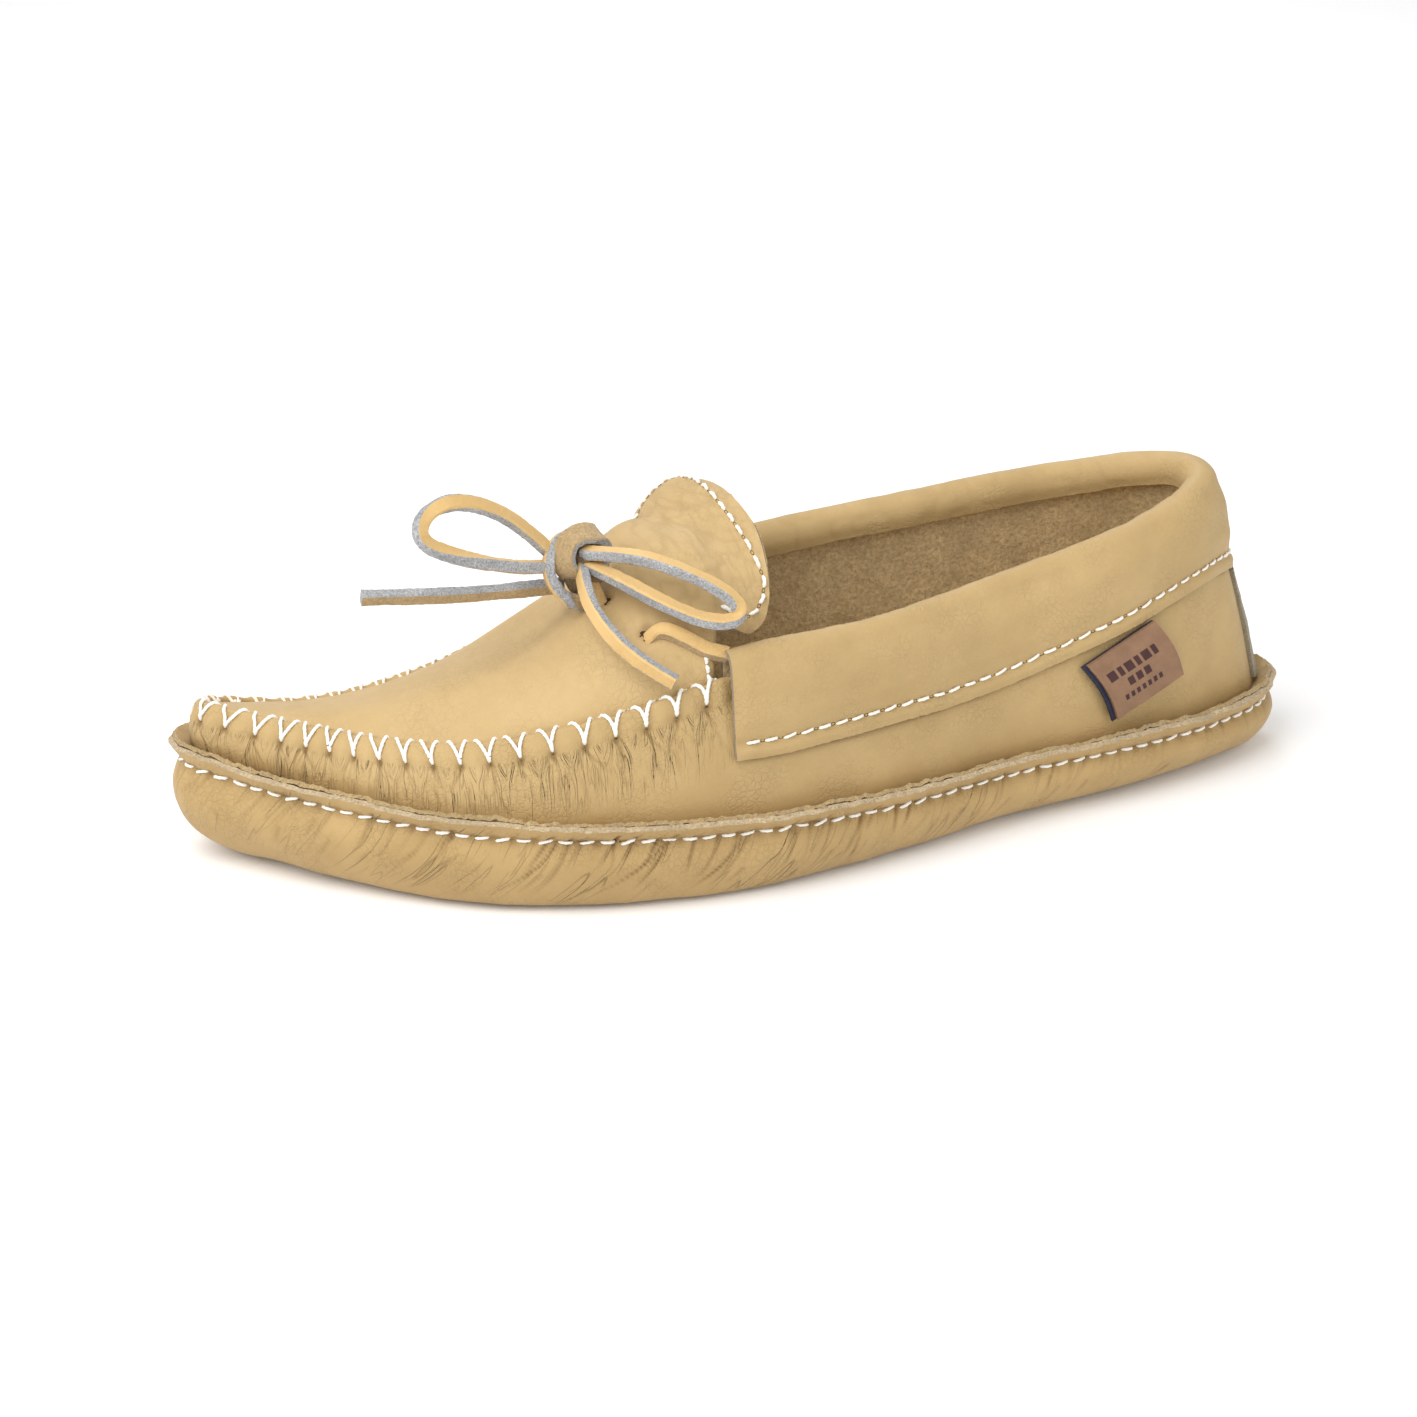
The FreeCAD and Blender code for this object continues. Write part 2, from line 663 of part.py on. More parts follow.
def make_label():
    """A face over a backing that shows past it at the front edge."""
    width, drop, margin = size("label_width"), size("label_drop"), size("label_margin")
    placement = label_placement()
    body, sketch, pad, across, upward = plate_body(
        "label_backing", (-width / 2, -drop, width / 2, 0), size("backing_thick"), 0)
    sketch.setExpression("Constraints[%d]" % across, "Dimensions.label_width")
    sketch.setExpression("Constraints[%d]" % upward, "Dimensions.label_drop")
    pad.setExpression("Length", "Dimensions.backing_thick")
    body.Placement = placement
    body, sketch, pad, across, upward = plate_body(
        "label_face", (margin - width / 2, -drop, width / 2, 0), size("label_thick"), size("backing_thick"))
    sketch.setExpression("Constraints[%d]" % across, "Dimensions.label_width - Dimensions.label_margin")
    sketch.setExpression("Constraints[%d]" % upward, "Dimensions.label_drop")
    pad.setExpression("Length", "Dimensions.label_thick")
    body.Placement = placement


STRIP_FOOT = 1.5            # from the sole's cut edge up to the strip
STRIP_GAP = 0.5             # from the strip up to the cuff


def make_heel_strip():
    """A narrow strip over the back seam, from the sole's cut edge up to the cuff."""
    strip = size("strip_width") / 2 / RING_LENGTH
    low = HEIGHT * blend(0)[2] + size("flange_rise") + STRIP_FOOT
    high = HEIGHT * blend(0)[6] - STRIP_GAP
    sections = []
    for part in (0, 0.25, 0.5, 0.75, 1):
        height = low + (high - low) * part
        outer, inner = [], []
        for side in (-strip, 0, strip):
            base = wall_offset(side, height)
            outer.append(place(side, base + 0.1 + size("strip_thick"), height))
            inner.append(place(side, base + 0.1, height))
        sections.append(sheet_section(outer, inner))
    return add_shape("heel_seam_strip", Part.makeLoft(sections, True, False))


def make_knot():
    """The tied knot as a rounded lump with the band of the half hitch round it."""
    lump = doc.addObject("Part::Ellipsoid", "knot_lump")
    lump.setExpression("Radius1", "Dimensions.knot_tall")
    lump.setExpression("Radius2", "Dimensions.knot_long")
    lump.setExpression("Radius3", "Dimensions.knot_wide")
    lump.Placement = FreeCAD.Placement(spot(*KNOT), FreeCAD.Rotation())
    band = doc.addObject("Part::Torus", "knot_band")
    band.setExpression("Radius1", "Dimensions.knot_wide - Dimensions.lace_width / 3")
    band.setExpression("Radius2", "Dimensions.lace_width / 2")
    band.Placement = FreeCAD.Placement(spot(*KNOT), FreeCAD.Rotation(Vector(0.35, 1, 0.2), 80))
    knot = doc.addObject("Part::MultiFuse", "bow_knot")
    knot.Label = "bow_knot"
    knot.Shapes = [lump, band]
    return knot


# ---------------------------------------------------------------- the document
make_outsole()
foam_floor = SOLE + 0.1
foam_top = foam_floor + size("foam_thick")
make_pad("midsole_foam", foam_floor, foam_top, *FOAM_INSETS)
make_pad("inner_sole", foam_top, foam_top + size("insole_thick"), *INSOLE_INSETS)
make_upper_wall()
make_collar()
make_heel_strip()
make_label()
make_knot()

collar_end, far_end = collar_run_points()[0], collar_run_points()[-1]
lace_routes = {
    "lace_collar_run": collar_run_points(),
    "lace_left_run": [collar_end] + [spot(*point) for point in LEFT_RUN],
    "lace_right_run": [far_end] + [spot(*point) for point in RIGHT_RUN],
    "bow_loop_left": [spot(*point) for point in LOOP_LEFT],
    "bow_loop_right": [spot(*point) for point in LOOP_RIGHT],
    "bow_tail_left": [spot(*point) for point in TAIL_LEFT],
    "bow_tail_right": [spot(*point) for point in TAIL_RIGHT],
}
for lace_name, route in lace_routes.items():
    add_shape(lace_name, cord_shape(lace_name, route, LACE))

plug = plug_shape(0, UPPER)
for lace_name in ("lace_left_run", "lace_right_run"):
    plug = plug.cut(cord_shape(lace_name + " slots", lace_routes[lace_name], LACE + 2 * SLOT_ROOM))
add_shape("plug", plug)
add_shape("tongue", tongue_shape(0, UPPER, 0))
add_shape("tongue_lining", tongue_shape(UPPER, UPPER + size("lining_thick"), 0.8))

add_shape("thread_sole_seam", running_stitches(sole_thread_point, 0, 1, size("stitch_pitch")))
add_shape("thread_collar", running_stitches(
    collar_thread_point, CUFF_START - 0.004, CUFF_END - 1 + 0.004, size("stitch_pitch")))
add_shape("thread_plug_seam", whip_stitches())
add_shape("thread_corner_tacks", corner_stitches())
add_shape("thread_tongue", tongue_stitches())

doc.recompute()

NODES = ["outsole", "midsole_foam", "inner_sole", "upper_wall", "plug", "tongue", "tongue_lining", "collar",
         "heel_seam_strip", "label_face", "label_backing", "lace_collar_run", "lace_left_run",
         "lace_right_run", "bow_knot", "bow_loop_left", "bow_loop_right", "bow_tail_left", "bow_tail_right",
         "thread_sole_seam", "thread_plug_seam", "thread_collar", "thread_tongue", "thread_corner_tacks"]
for item in doc.Objects:
    if "Invalid" in item.State or "Error" in item.State:
        raise RuntimeError("%s failed: %s" % (item.Name, item.State))
for name in NODES:
    shape = doc.getObjectsByLabel(name)[0].Shape
    if shape.isNull() or not shape.isValid() or shape.Volume <= 0:
        raise RuntimeError("%s has no valid solid" % name)
os.makedirs("parts", exist_ok=True)
for name in NODES:
    doc.getObjectsByLabel(name)[0].Shape.exportStep("parts/%s.step" % name)
print("wrote %d nodes" % len(NODES))
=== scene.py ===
"""The looks of a soft-soled leather moccasin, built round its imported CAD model.

Metres, in the CAD frame: +X to the toe, +Y to the outer side, +Z up, origin on the ground.
"""
import json
import math
from types import SimpleNamespace

import bmesh
import bpy
import numpy as np
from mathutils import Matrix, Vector


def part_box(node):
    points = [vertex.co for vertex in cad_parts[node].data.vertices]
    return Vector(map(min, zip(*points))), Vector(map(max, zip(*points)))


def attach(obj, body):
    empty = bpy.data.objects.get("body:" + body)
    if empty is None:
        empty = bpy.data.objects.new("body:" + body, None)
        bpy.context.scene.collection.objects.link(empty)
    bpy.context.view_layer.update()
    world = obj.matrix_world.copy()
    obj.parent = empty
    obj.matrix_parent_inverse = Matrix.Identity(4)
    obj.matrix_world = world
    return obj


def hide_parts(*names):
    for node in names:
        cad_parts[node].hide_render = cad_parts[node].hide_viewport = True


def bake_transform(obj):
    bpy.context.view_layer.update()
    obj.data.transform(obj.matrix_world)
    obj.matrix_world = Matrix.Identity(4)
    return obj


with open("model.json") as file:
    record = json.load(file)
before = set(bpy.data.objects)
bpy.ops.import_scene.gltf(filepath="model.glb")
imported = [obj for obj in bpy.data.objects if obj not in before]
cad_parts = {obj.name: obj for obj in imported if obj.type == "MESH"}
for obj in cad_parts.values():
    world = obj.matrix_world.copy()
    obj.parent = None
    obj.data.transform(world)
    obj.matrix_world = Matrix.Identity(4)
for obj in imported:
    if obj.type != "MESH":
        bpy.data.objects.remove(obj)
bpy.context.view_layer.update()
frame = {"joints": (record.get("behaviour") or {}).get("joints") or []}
chance = np.random.default_rng(7)

# ---------------------------------------------------------------- sizes
MM = 0.001
FLANGE_OUT, FLANGE_RISE = 2.8 * MM, 3.8 * MM
SOLE, UPPER, CUFF, LINING = 2.5 * MM, 1.8 * MM, 1.5 * MM, 1.0 * MM
sole_low, sole_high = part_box("outsole")
LENGTH = sole_high.x - sole_low.x - 2 * FLANGE_OUT
WIDTH = LENGTH * 100 / 284
HEIGHT = LENGTH * 80 / 284
HEEL_X = -LENGTH / 2
ROLL, ROLL_DEPTH = 4.5 * MM, 3.5 * MM
BULGE_OUT, BULGE_SHARE = 2.2 * MM, 0.75
LACE_WIDE, LACE_THICK = 3.6 * MM, 2.8 * MM      # its golden face and its grey cut side
FINE_THREAD, THICK_THREAD = 0.38 * MM, 0.48 * MM        # radii
STITCH_PITCH, WHIP_PITCH, TONGUE_PITCH = 4.9 * MM, 7.5 * MM, 4.3 * MM
HOLE_DROP = 4.5 * MM        # from the ridge down to the whip stitches' holes
CUFF_START, CUFF_END, TOE_TIP = 0.2855, 0.7245, 0.513

# The shoe's stations, from the back of the heel round the outer side to the toe and back.
# Columns: along, across, seam height, contact inset, wall inset, wall height, cuff height
STATIONS = np.array([
    (0.000, 0.01, 0.169, 0.130, 0.220, 0.882, 0.610),
    (0.021, 0.13, 0.169, 0.130, 0.180, 0.874, 0.630),
    (0.077, 0.22, 0.169, 0.140, 0.112, 0.852, 0.640),
    (0.180, 0.30, 0.175, 0.130, 0.088, 0.794, 0.568),
    (0.306, 0.345, 0.181, 0.110, 0.110, 0.702, 0.465),
    (0.440, 0.43, 0.188, 0.085, 0.115, 0.658, 0.432),
    (0.581, 0.48, 0.213, 0.065, 0.115, 0.652, 0.428),
    (0.697, 0.44, 0.231, 0.065, 0.105, 0.560, 0.425),
    (0.806, 0.32, 0.250, 0.080, 0.100, 0.487, 0.400),
    (0.891, 0.12, 0.275, 0.110, 0.085, 0.470, 0.400),
    (0.960, -0.10, 0.300, 0.160, 0.060, 0.490, 0.400),
    (1.000, -0.27, 0.322, 0.200, 0.045, 0.505, 0.400),
    (0.984, -0.40, 0.305, 0.190, 0.055, 0.455, 0.400),
    (0.898, -0.49, 0.262, 0.140, 0.080, 0.385, 0.400),
    (0.775, -0.53, 0.235, 0.110, 0.105, 0.415, 0.400),
    (0.644, -0.515, 0.225, 0.100, 0.120, 0.555, 0.420),
    (0.475, -0.43, 0.206, 0.100, 0.115, 0.705, 0.435),
    (0.317, -0.36, 0.188, 0.110, 0.110, 0.782, 0.470),
    (0.176, -0.31, 0.175, 0.130, 0.088, 0.820, 0.556),
    (0.074, -0.22, 0.169, 0.140, 0.112, 0.855, 0.640),
    (0.021, -0.11, 0.169, 0.130, 0.180, 0.874, 0.630),
])
SPINE = np.array([(HEEL_X + 0.15 * LENGTH, 0.0), (HEEL_X + 0.835 * LENGTH, -0.19 * WIDTH)])


# The main view, and its own directions in the frame.
AZIMUTH, ELEVATION = math.radians(23), math.radians(22)
CAMERA_TARGET, CAMERA_DISTANCE = (0.0154, 0.00105, 0.030), 1.0
SENSOR_MM, LENS_MM = 36, 102.66
TO_CAMERA = np.array([math.sin(AZIMUTH) * math.cos(ELEVATION), math.cos(AZIMUTH) * math.cos(ELEVATION),
                      math.sin(ELEVATION)])
RIGHT = np.array([-math.cos(AZIMUTH), math.sin(AZIMUTH), 0])
UP = np.cross(TO_CAMERA, RIGHT)


# ---------------------------------------------------------------- small mathematics
def facing(right, up, toward):
    """A direction given in the main view's own directions."""
    return right * RIGHT + up * UP + toward * TO_CAMERA


def unit(vectors):
    """The same directions, each with length 1."""
    return vectors / np.maximum(np.linalg.norm(vectors, axis=-1, keepdims=True), 1e-12)


def lengths(path):
    """The distance along a path at each of its points."""
    return np.concatenate([[0], np.cumsum(np.linalg.norm(np.diff(path, axis=0), axis=1))])


def ease(x):
    """A smooth step from 0 to 1."""
    x = np.clip(x, 0, 1)
    return x * x * (3 - 2 * x)


def lattice(cell, seed):
    """A random number from -1 to 1 for each whole-numbered cell."""
    mixed = (cell[..., 0] * 73856093) ^ (cell[..., 1] * 19349663) ^ (cell[..., 2] * 83492791)
    mixed = mixed ^ (seed * 2654435)
    mixed = (mixed & 0x7FFFFFFF).astype(np.uint64)
    mixed = ((mixed ^ (mixed >> np.uint64(13))) * np.uint64(1274126177)) & np.uint64(0x7FFFFFFF)
    return ((mixed ^ (mixed >> np.uint64(11))) & np.uint64(0xFFFF)).astype(float) / 32767.5 - 1


def rough(points, cell, seed=0):
    """Smooth noise from -1 to 1 whose features are about one cell across."""
    scaled = points / np.asarray(cell)
    base = np.floor(scaled).astype(np.int64)
    f = ease(scaled - base)
    total = np.zeros(points.shape[:-1])
    for corner in np.ndindex(2, 2, 2):
        weight = np.prod(np.where(np.array(corner) == 1, f, 1 - f), axis=-1)
        total += weight * lattice(base + np.array(corner), seed)
    return total


def curve(keys, count):
    """Rows of points on one smooth line through keys; keys are (columns, keys, axes)."""
    step = np.diff(keys, axis=1)
    chord = np.maximum(np.linalg.norm(step, axis=2), 1e-9)
    slope = step / chord[..., None]
    tangent = np.empty_like(keys)
    tangent[:, 0], tangent[:, -1] = slope[:, 0], slope[:, -1]
    before, after = chord[:, :-1, None], chord[:, 1:, None]
    tangent[:, 1:-1] = (after * slope[:, :-1] + before * slope[:, 1:]) / (after + before)
    marks = np.concatenate([[0], np.cumsum(chord.mean(axis=0))])
    at = np.linspace(0, marks[-1], count)
    index = np.clip(np.searchsorted(marks, at, side="right") - 1, 0, len(marks) - 2)
    f = ((at - marks[index]) / (marks[index + 1] - marks[index]))[None, :, None]
    width = chord[:, index, None]
    return (keys[:, index] * (1 + 2 * f) * (1 - f) ** 2 + keys[:, index + 1] * f * f * (3 - 2 * f)
            + width * (tangent[:, index] * f * (1 - f) ** 2 - tangent[:, index + 1] * f * f * (1 - f)))


# ---------------------------------------------------------------- the lines of the shoe
def outward(xy):
    """The direction from the nearest place on the spine, and that place."""
    run = SPINE[1] - SPINE[0]
    part = np.clip((xy - SPINE[0]) @ run / (run @ run), 0, 1)
    nearest = SPINE[0] + part[..., None] * run
    return unit(xy - nearest), nearest


def station_rows():
    """The stations in metres, each with its outward direction."""
    xy = np.stack([HEEL_X + LENGTH * STATIONS[:, 0], WIDTH * STATIONS[:, 1]], axis=1)
    scale = np.array([HEIGHT, WIDTH, WIDTH, HEIGHT, HEIGHT])
    return np.hstack([xy, STATIONS[:, 2:] * scale, outward(xy)[0]])


ROWS = station_rows()
SPANS = np.linalg.norm(np.roll(ROWS[:, :2], -1, axis=0) - ROWS[:, :2], axis=1)
ROUND = SPANS.sum()         # the way round the sole seam
SPANS = SPANS / ROUND
MARKS = np.concatenate([[0], np.cumsum(SPANS)])


def around(share):
    """The seam's place, heights, insets and outward direction at shares of the way round."""
    share = np.mod(np.asarray(share, float), 1.0)
    count = len(ROWS)
    index = np.clip(np.searchsorted(MARKS, share, side="right") - 1, 0, count - 1)
    span = SPANS[index][..., None]
    before, after = SPANS[index - 1][..., None], SPANS[(index + 1) % count][..., None]
    f = (share - MARKS[index])[..., None] / span
    a, b, c, d = (ROWS[(index + step) % count] for step in (-1, 0, 1, 2))
    slope = (c - b) / span
    start = (before * slope + span * (b - a) / before) / (before + span)
    end = (span * (d - c) / after + after * slope) / (span + after)
    value = (b * (1 + 2 * f) * (1 - f) ** 2 + c * f * f * (3 - 2 * f)
             + span * (start * f * (1 - f) ** 2 - end * f * f * (1 - f)))
    seam, contact, inset, top, cuff = (value[..., column] for column in range(2, 7))
    return SimpleNamespace(share=share, xy=value[..., :2], seam=seam, contact=contact, inset=inset,
                           top=top, cuff=cuff, out=unit(value[..., 7:]))


def pair(offset, height, like):
    """One key of a cross-section line, for every column."""
    return np.stack([np.broadcast_to(offset, like.shape), np.broadcast_to(height, like.shape)], axis=-1)


def line_of(ring, *keys):
    """A cross-section line for every column, from its (offset, height) keys."""
    return np.stack([pair(offset, height, ring.seam) for offset, height in keys], axis=1)


def space(ring, line):
    """Points in the frame from (offset, height) lines."""
    xy = ring.xy[:, None] + ring.out[:, None] * line[..., :1]
    return np.concatenate([xy, line[..., 1:]], axis=-1)


def shift(line, distance):
    """A copy of an (offset, height) line, moved to its left by a distance."""
    step = unit(np.diff(line, axis=1))
    side = np.stack([-step[..., 1], step[..., 0]], axis=-1)
    normal = np.concatenate([side[:, :1], (side[:, :-1] + side[:, 1:]) / 2, side[:, -1:]], axis=1)
    reach = np.linalg.norm(normal, axis=-1, keepdims=True)
    return line + distance * np.minimum(1 / reach, 1.3) * normal / reach


def sole_line(ring):
    """The outside of the outsole, from the flat bottom to the cut edge."""
    keys = []
    for angle in (0, 30, 60, 90):
        turn = math.radians(angle)
        keys.append((-ring.contact + (ring.contact + BULGE_OUT) * math.sin(turn),
                     BULGE_SHARE * ring.seam * (1 - math.cos(turn))))
    return line_of(ring, *keys, (0, ring.seam), (FLANGE_OUT, ring.seam + FLANGE_RISE))


def wall_line(ring):
    """The outside of the upper, from its own cut edge down into the seam and up the wall."""
    fold = shift(line_of(ring, (0, ring.seam), (FLANGE_OUT, ring.seam + FLANGE_RISE)), SOLE + UPPER)
    foot_out, foot_up = fold[:, 0, 0], fold[:, 0, 1]
    keys = [(fold[:, 1, 0], fold[:, 1, 1]), (foot_out, foot_up)]
    for part, swell in ((0.3, 1.3 * MM), (0.65, 1.6 * MM), (1.0, 0)):
        keys.append((foot_out + (-ring.inset - foot_out) * part + swell,
                     foot_up + (ring.top - foot_up) * part))
    return line_of(ring, *keys)


def wall_offset(ring, height):
    """The offset of the outside of the wall at a height."""
    line = wall_line(ring)[:, 1:]
    offset = line[:, -1, 0].copy()
    for index in reversed(range(line.shape[1] - 1)):
        (u0, w0), (u1, w1) = line[:, index].T, line[:, index + 1].T
        offset = np.where(height <= w1, u0 + (u1 - u0) * (height - w0) / (w1 - w0), offset)
    return offset


def roll_centre(ring):
    """The middle of the collar's roll."""
    return -ring.inset - UPPER / 2, ring.top + ROLL - CUFF


def collar_line(ring):
    """The outside of the collar: up the cuff, over the roll and a little way down inside."""
    u, w = roll_centre(ring)
    lift = CUFF + 0.1 * MM
    low_u = wall_offset(ring, ring.cuff) + lift
    middle = (ring.cuff + w) / 2
    middle_u = np.maximum(wall_offset(ring, middle) + lift, (low_u + u + ROLL) / 2)
    keys = [(low_u, ring.cuff), (middle_u, middle)]
    for angle in (0, 45, 90, 135, 180):
        turn = math.radians(angle)
        keys.append((u + ROLL * math.cos(turn), w + ROLL * math.sin(turn)))
    keys.append((u - ROLL + 0.5 * MM, w - ROLL_DEPTH))
    return line_of(ring, *keys)


# ---------------------------------------------------------------- grids and meshes
def settle(piece, slot, *nodes, body="shoe"):
    """Lets a piece ride on a body and stand for CAD nodes, which it hides; the slot is not used."""
    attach(piece, body)
    if nodes:
        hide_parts(*nodes)


def add_object(name, data):
    """A new object in the scene."""
    thing = bpy.data.objects.new(name, data)
    bpy.context.scene.collection.objects.link(thing)
    return thing


class Grid:
    """Points in columns and rows, with a painted shade for creases and hollows and a material for each row.
    """

    def __init__(self, segments, round_columns, closed_rows, shares=None):
        """Segments are (points, material number); each starts where the one before ends."""
        self.points = np.concatenate([points[:, :-1] for points, _ in segments], axis=1)
        self.rows = np.concatenate([np.full(points.shape[1] - 1, slot) for points, slot in segments])
        if not closed_rows:
            self.points = np.concatenate([self.points, segments[-1][0][:, -1:]], axis=1)
            self.rows = np.append(self.rows, segments[-1][1])
        self.round_columns = round_columns
        self.closed_rows = closed_rows
        self.shade = np.zeros(self.points.shape[:2])
        self.fold = np.zeros(self.points.shape)
        self.shares = shares

    def differences(self, axis, closed):
        """The steps from each point's neighbour on one side to its neighbour on the other."""
        if closed:
            return np.roll(self.points, -1, axis) - np.roll(self.points, 1, axis)
        return np.gradient(self.points, axis=axis)

    def normals(self):
        """The outward directions."""
        up, along = self.differences(1, self.closed_rows), self.differences(0, self.round_columns)
        return unit(np.cross(up, along))

    def push(self, distance):
        """Moves each point along its normal."""
        self.points = self.points + self.normals() * distance[..., None]

    def sample(self, column, row, lift=0.0):
        """Points at shares of the way along the columns and at row numbers, lifted off the surface."""
        count = len(self.points)
        column = np.asarray(column, float)
        row = np.asarray(row, float)
        if self.round_columns:
            place = np.interp(np.mod(column, 1.0), np.append(self.shares, 1.0), np.arange(count + 1))
        else:
            place = np.clip(column, 0, 1) * (count - 1)
        left = np.minimum(np.floor(place).astype(int), count - 1)
        right = (left + 1) % count if self.round_columns else np.minimum(left + 1, count - 1)
        low = np.clip(np.floor(row).astype(int), 0, self.points.shape[1] - 2)
        f, g = (place - left)[..., None], (row - low)[..., None]
        normal = self.normals()

        def mix(values):
            lower = values[left, low] * (1 - f) + values[right, low] * f
            upper = values[left, low + 1] * (1 - f) + values[right, low + 1] * f
            return lower * (1 - g) + upper * g
        return mix(self.points) + unit(mix(normal)) * np.asarray(lift)[..., None]


def shell(top, under):
    """A closed sheet from its top and its underside."""
    sheet = Grid([(np.concatenate([top, under[:, ::-1]], axis=1), 0)], False, False)
    sheet.closed_rows = True
    return sheet


def grid_faces(columns, rows, round_columns, closed_rows):
    """The four corners of every face of a grid, and the row that each face starts from."""
    left = np.arange(columns if round_columns else columns - 1)
    low = np.arange(rows if closed_rows else rows - 1)
    i, j = (a.ravel() for a in np.meshgrid(left, low, indexing="ij"))
    right, up = (i + 1) % columns, (j + 1) % rows
    return np.stack([i * rows + j, i * rows + up, right * rows + up, right * rows + j], axis=1), j


def make_mesh(name, points, faces, slots, materials, shade=None, fold=None, tidy=False, sharp=60):
    """A mesh object whose faces look outward."""
    mesh = bpy.data.meshes.new(name)
    mesh.from_pydata(points.reshape(-1, 3).tolist(), [], [list(face) for face in faces])
    for material in materials:
        mesh.materials.append(material)
    mesh.polygons.foreach_set("material_index", np.asarray(slots, np.int32))
    extras = (("shade", "FLOAT", "value", shade), ("fold", "FLOAT_VECTOR", "vector", fold))
    for label, kind, field, values in extras:
        if values is not None:
            attribute = mesh.attributes.new(label, kind, "POINT")
            attribute.data.foreach_set(field, values.ravel().astype(np.float32))
    editing = bmesh.new()
    editing.from_mesh(mesh)
    if tidy:
        bmesh.ops.remove_doubles(editing, verts=editing.verts, dist=0.01 * MM)
        bmesh.ops.dissolve_degenerate(editing, edges=editing.edges, dist=0.005 * MM)
    bmesh.ops.recalc_face_normals(editing, faces=editing.faces)
    editing.to_mesh(mesh)
    editing.free()
    mesh.polygons.foreach_set("use_smooth", np.ones(len(mesh.polygons), bool))
    mesh.set_sharp_from_angle(angle=math.radians(sharp))
    return add_object(name, mesh)


def grid_object(name, grid, materials, end_slot=None, tidy=False, sharp=60):
    """A grid as an object; open columns of a closed section get end faces."""
    columns, rows = grid.points.shape[:2]
    faces, low = grid_faces(columns, rows, grid.round_columns, grid.closed_rows)
    faces, slots = faces.tolist(), grid.rows[low].tolist()
    if end_slot is not None:
        half = rows // 2
        for column in (0, columns - 1):
            for j in range(half):
                a, b = column * rows + j, column * rows + j + 1
                c, d = column * rows + rows - 1 - (j + 1), column * rows + rows - 1 - j
                corners = [a, b, c, d] if len({a, b, c, d}) == 4 else list(dict.fromkeys([a, b, c, d]))
                if len(corners) >= 3:
                    faces.append(corners)
                    slots.append(end_slot)
    return make_mesh(name, grid.points, faces, slots, materials, grid.shade, grid.fold, tidy, sharp)


def creases(s, t, lines):
    """How deep a set of creases cuts at ring distances s and heights t; their shoulders stand up."""
    field = np.zeros(t.shape)
    for start, first, last, slope, bend, depth, width in lines:
        reach = abs(slope) * (last - first) + abs(bend) * (last - first) ** 2 + 4 * width
        gap = np.mod(s - start + ROUND / 2, ROUND) - ROUND / 2
        near = np.nonzero(np.abs(gap) < reach)[0]
        along = t[near] - first
        side = (gap[near][:, None] - slope * along - bend * along ** 2) / (width * math.hypot(1, slope))
        length = last - first
        fade = ease(along / (0.12 * length)) * ease((length - along) / (0.6 * length))
        field[near] += depth * fade * (np.exp(-side ** 2) - 0.3 * np.exp(-(np.abs(side) - 1.9) ** 2))
    return field


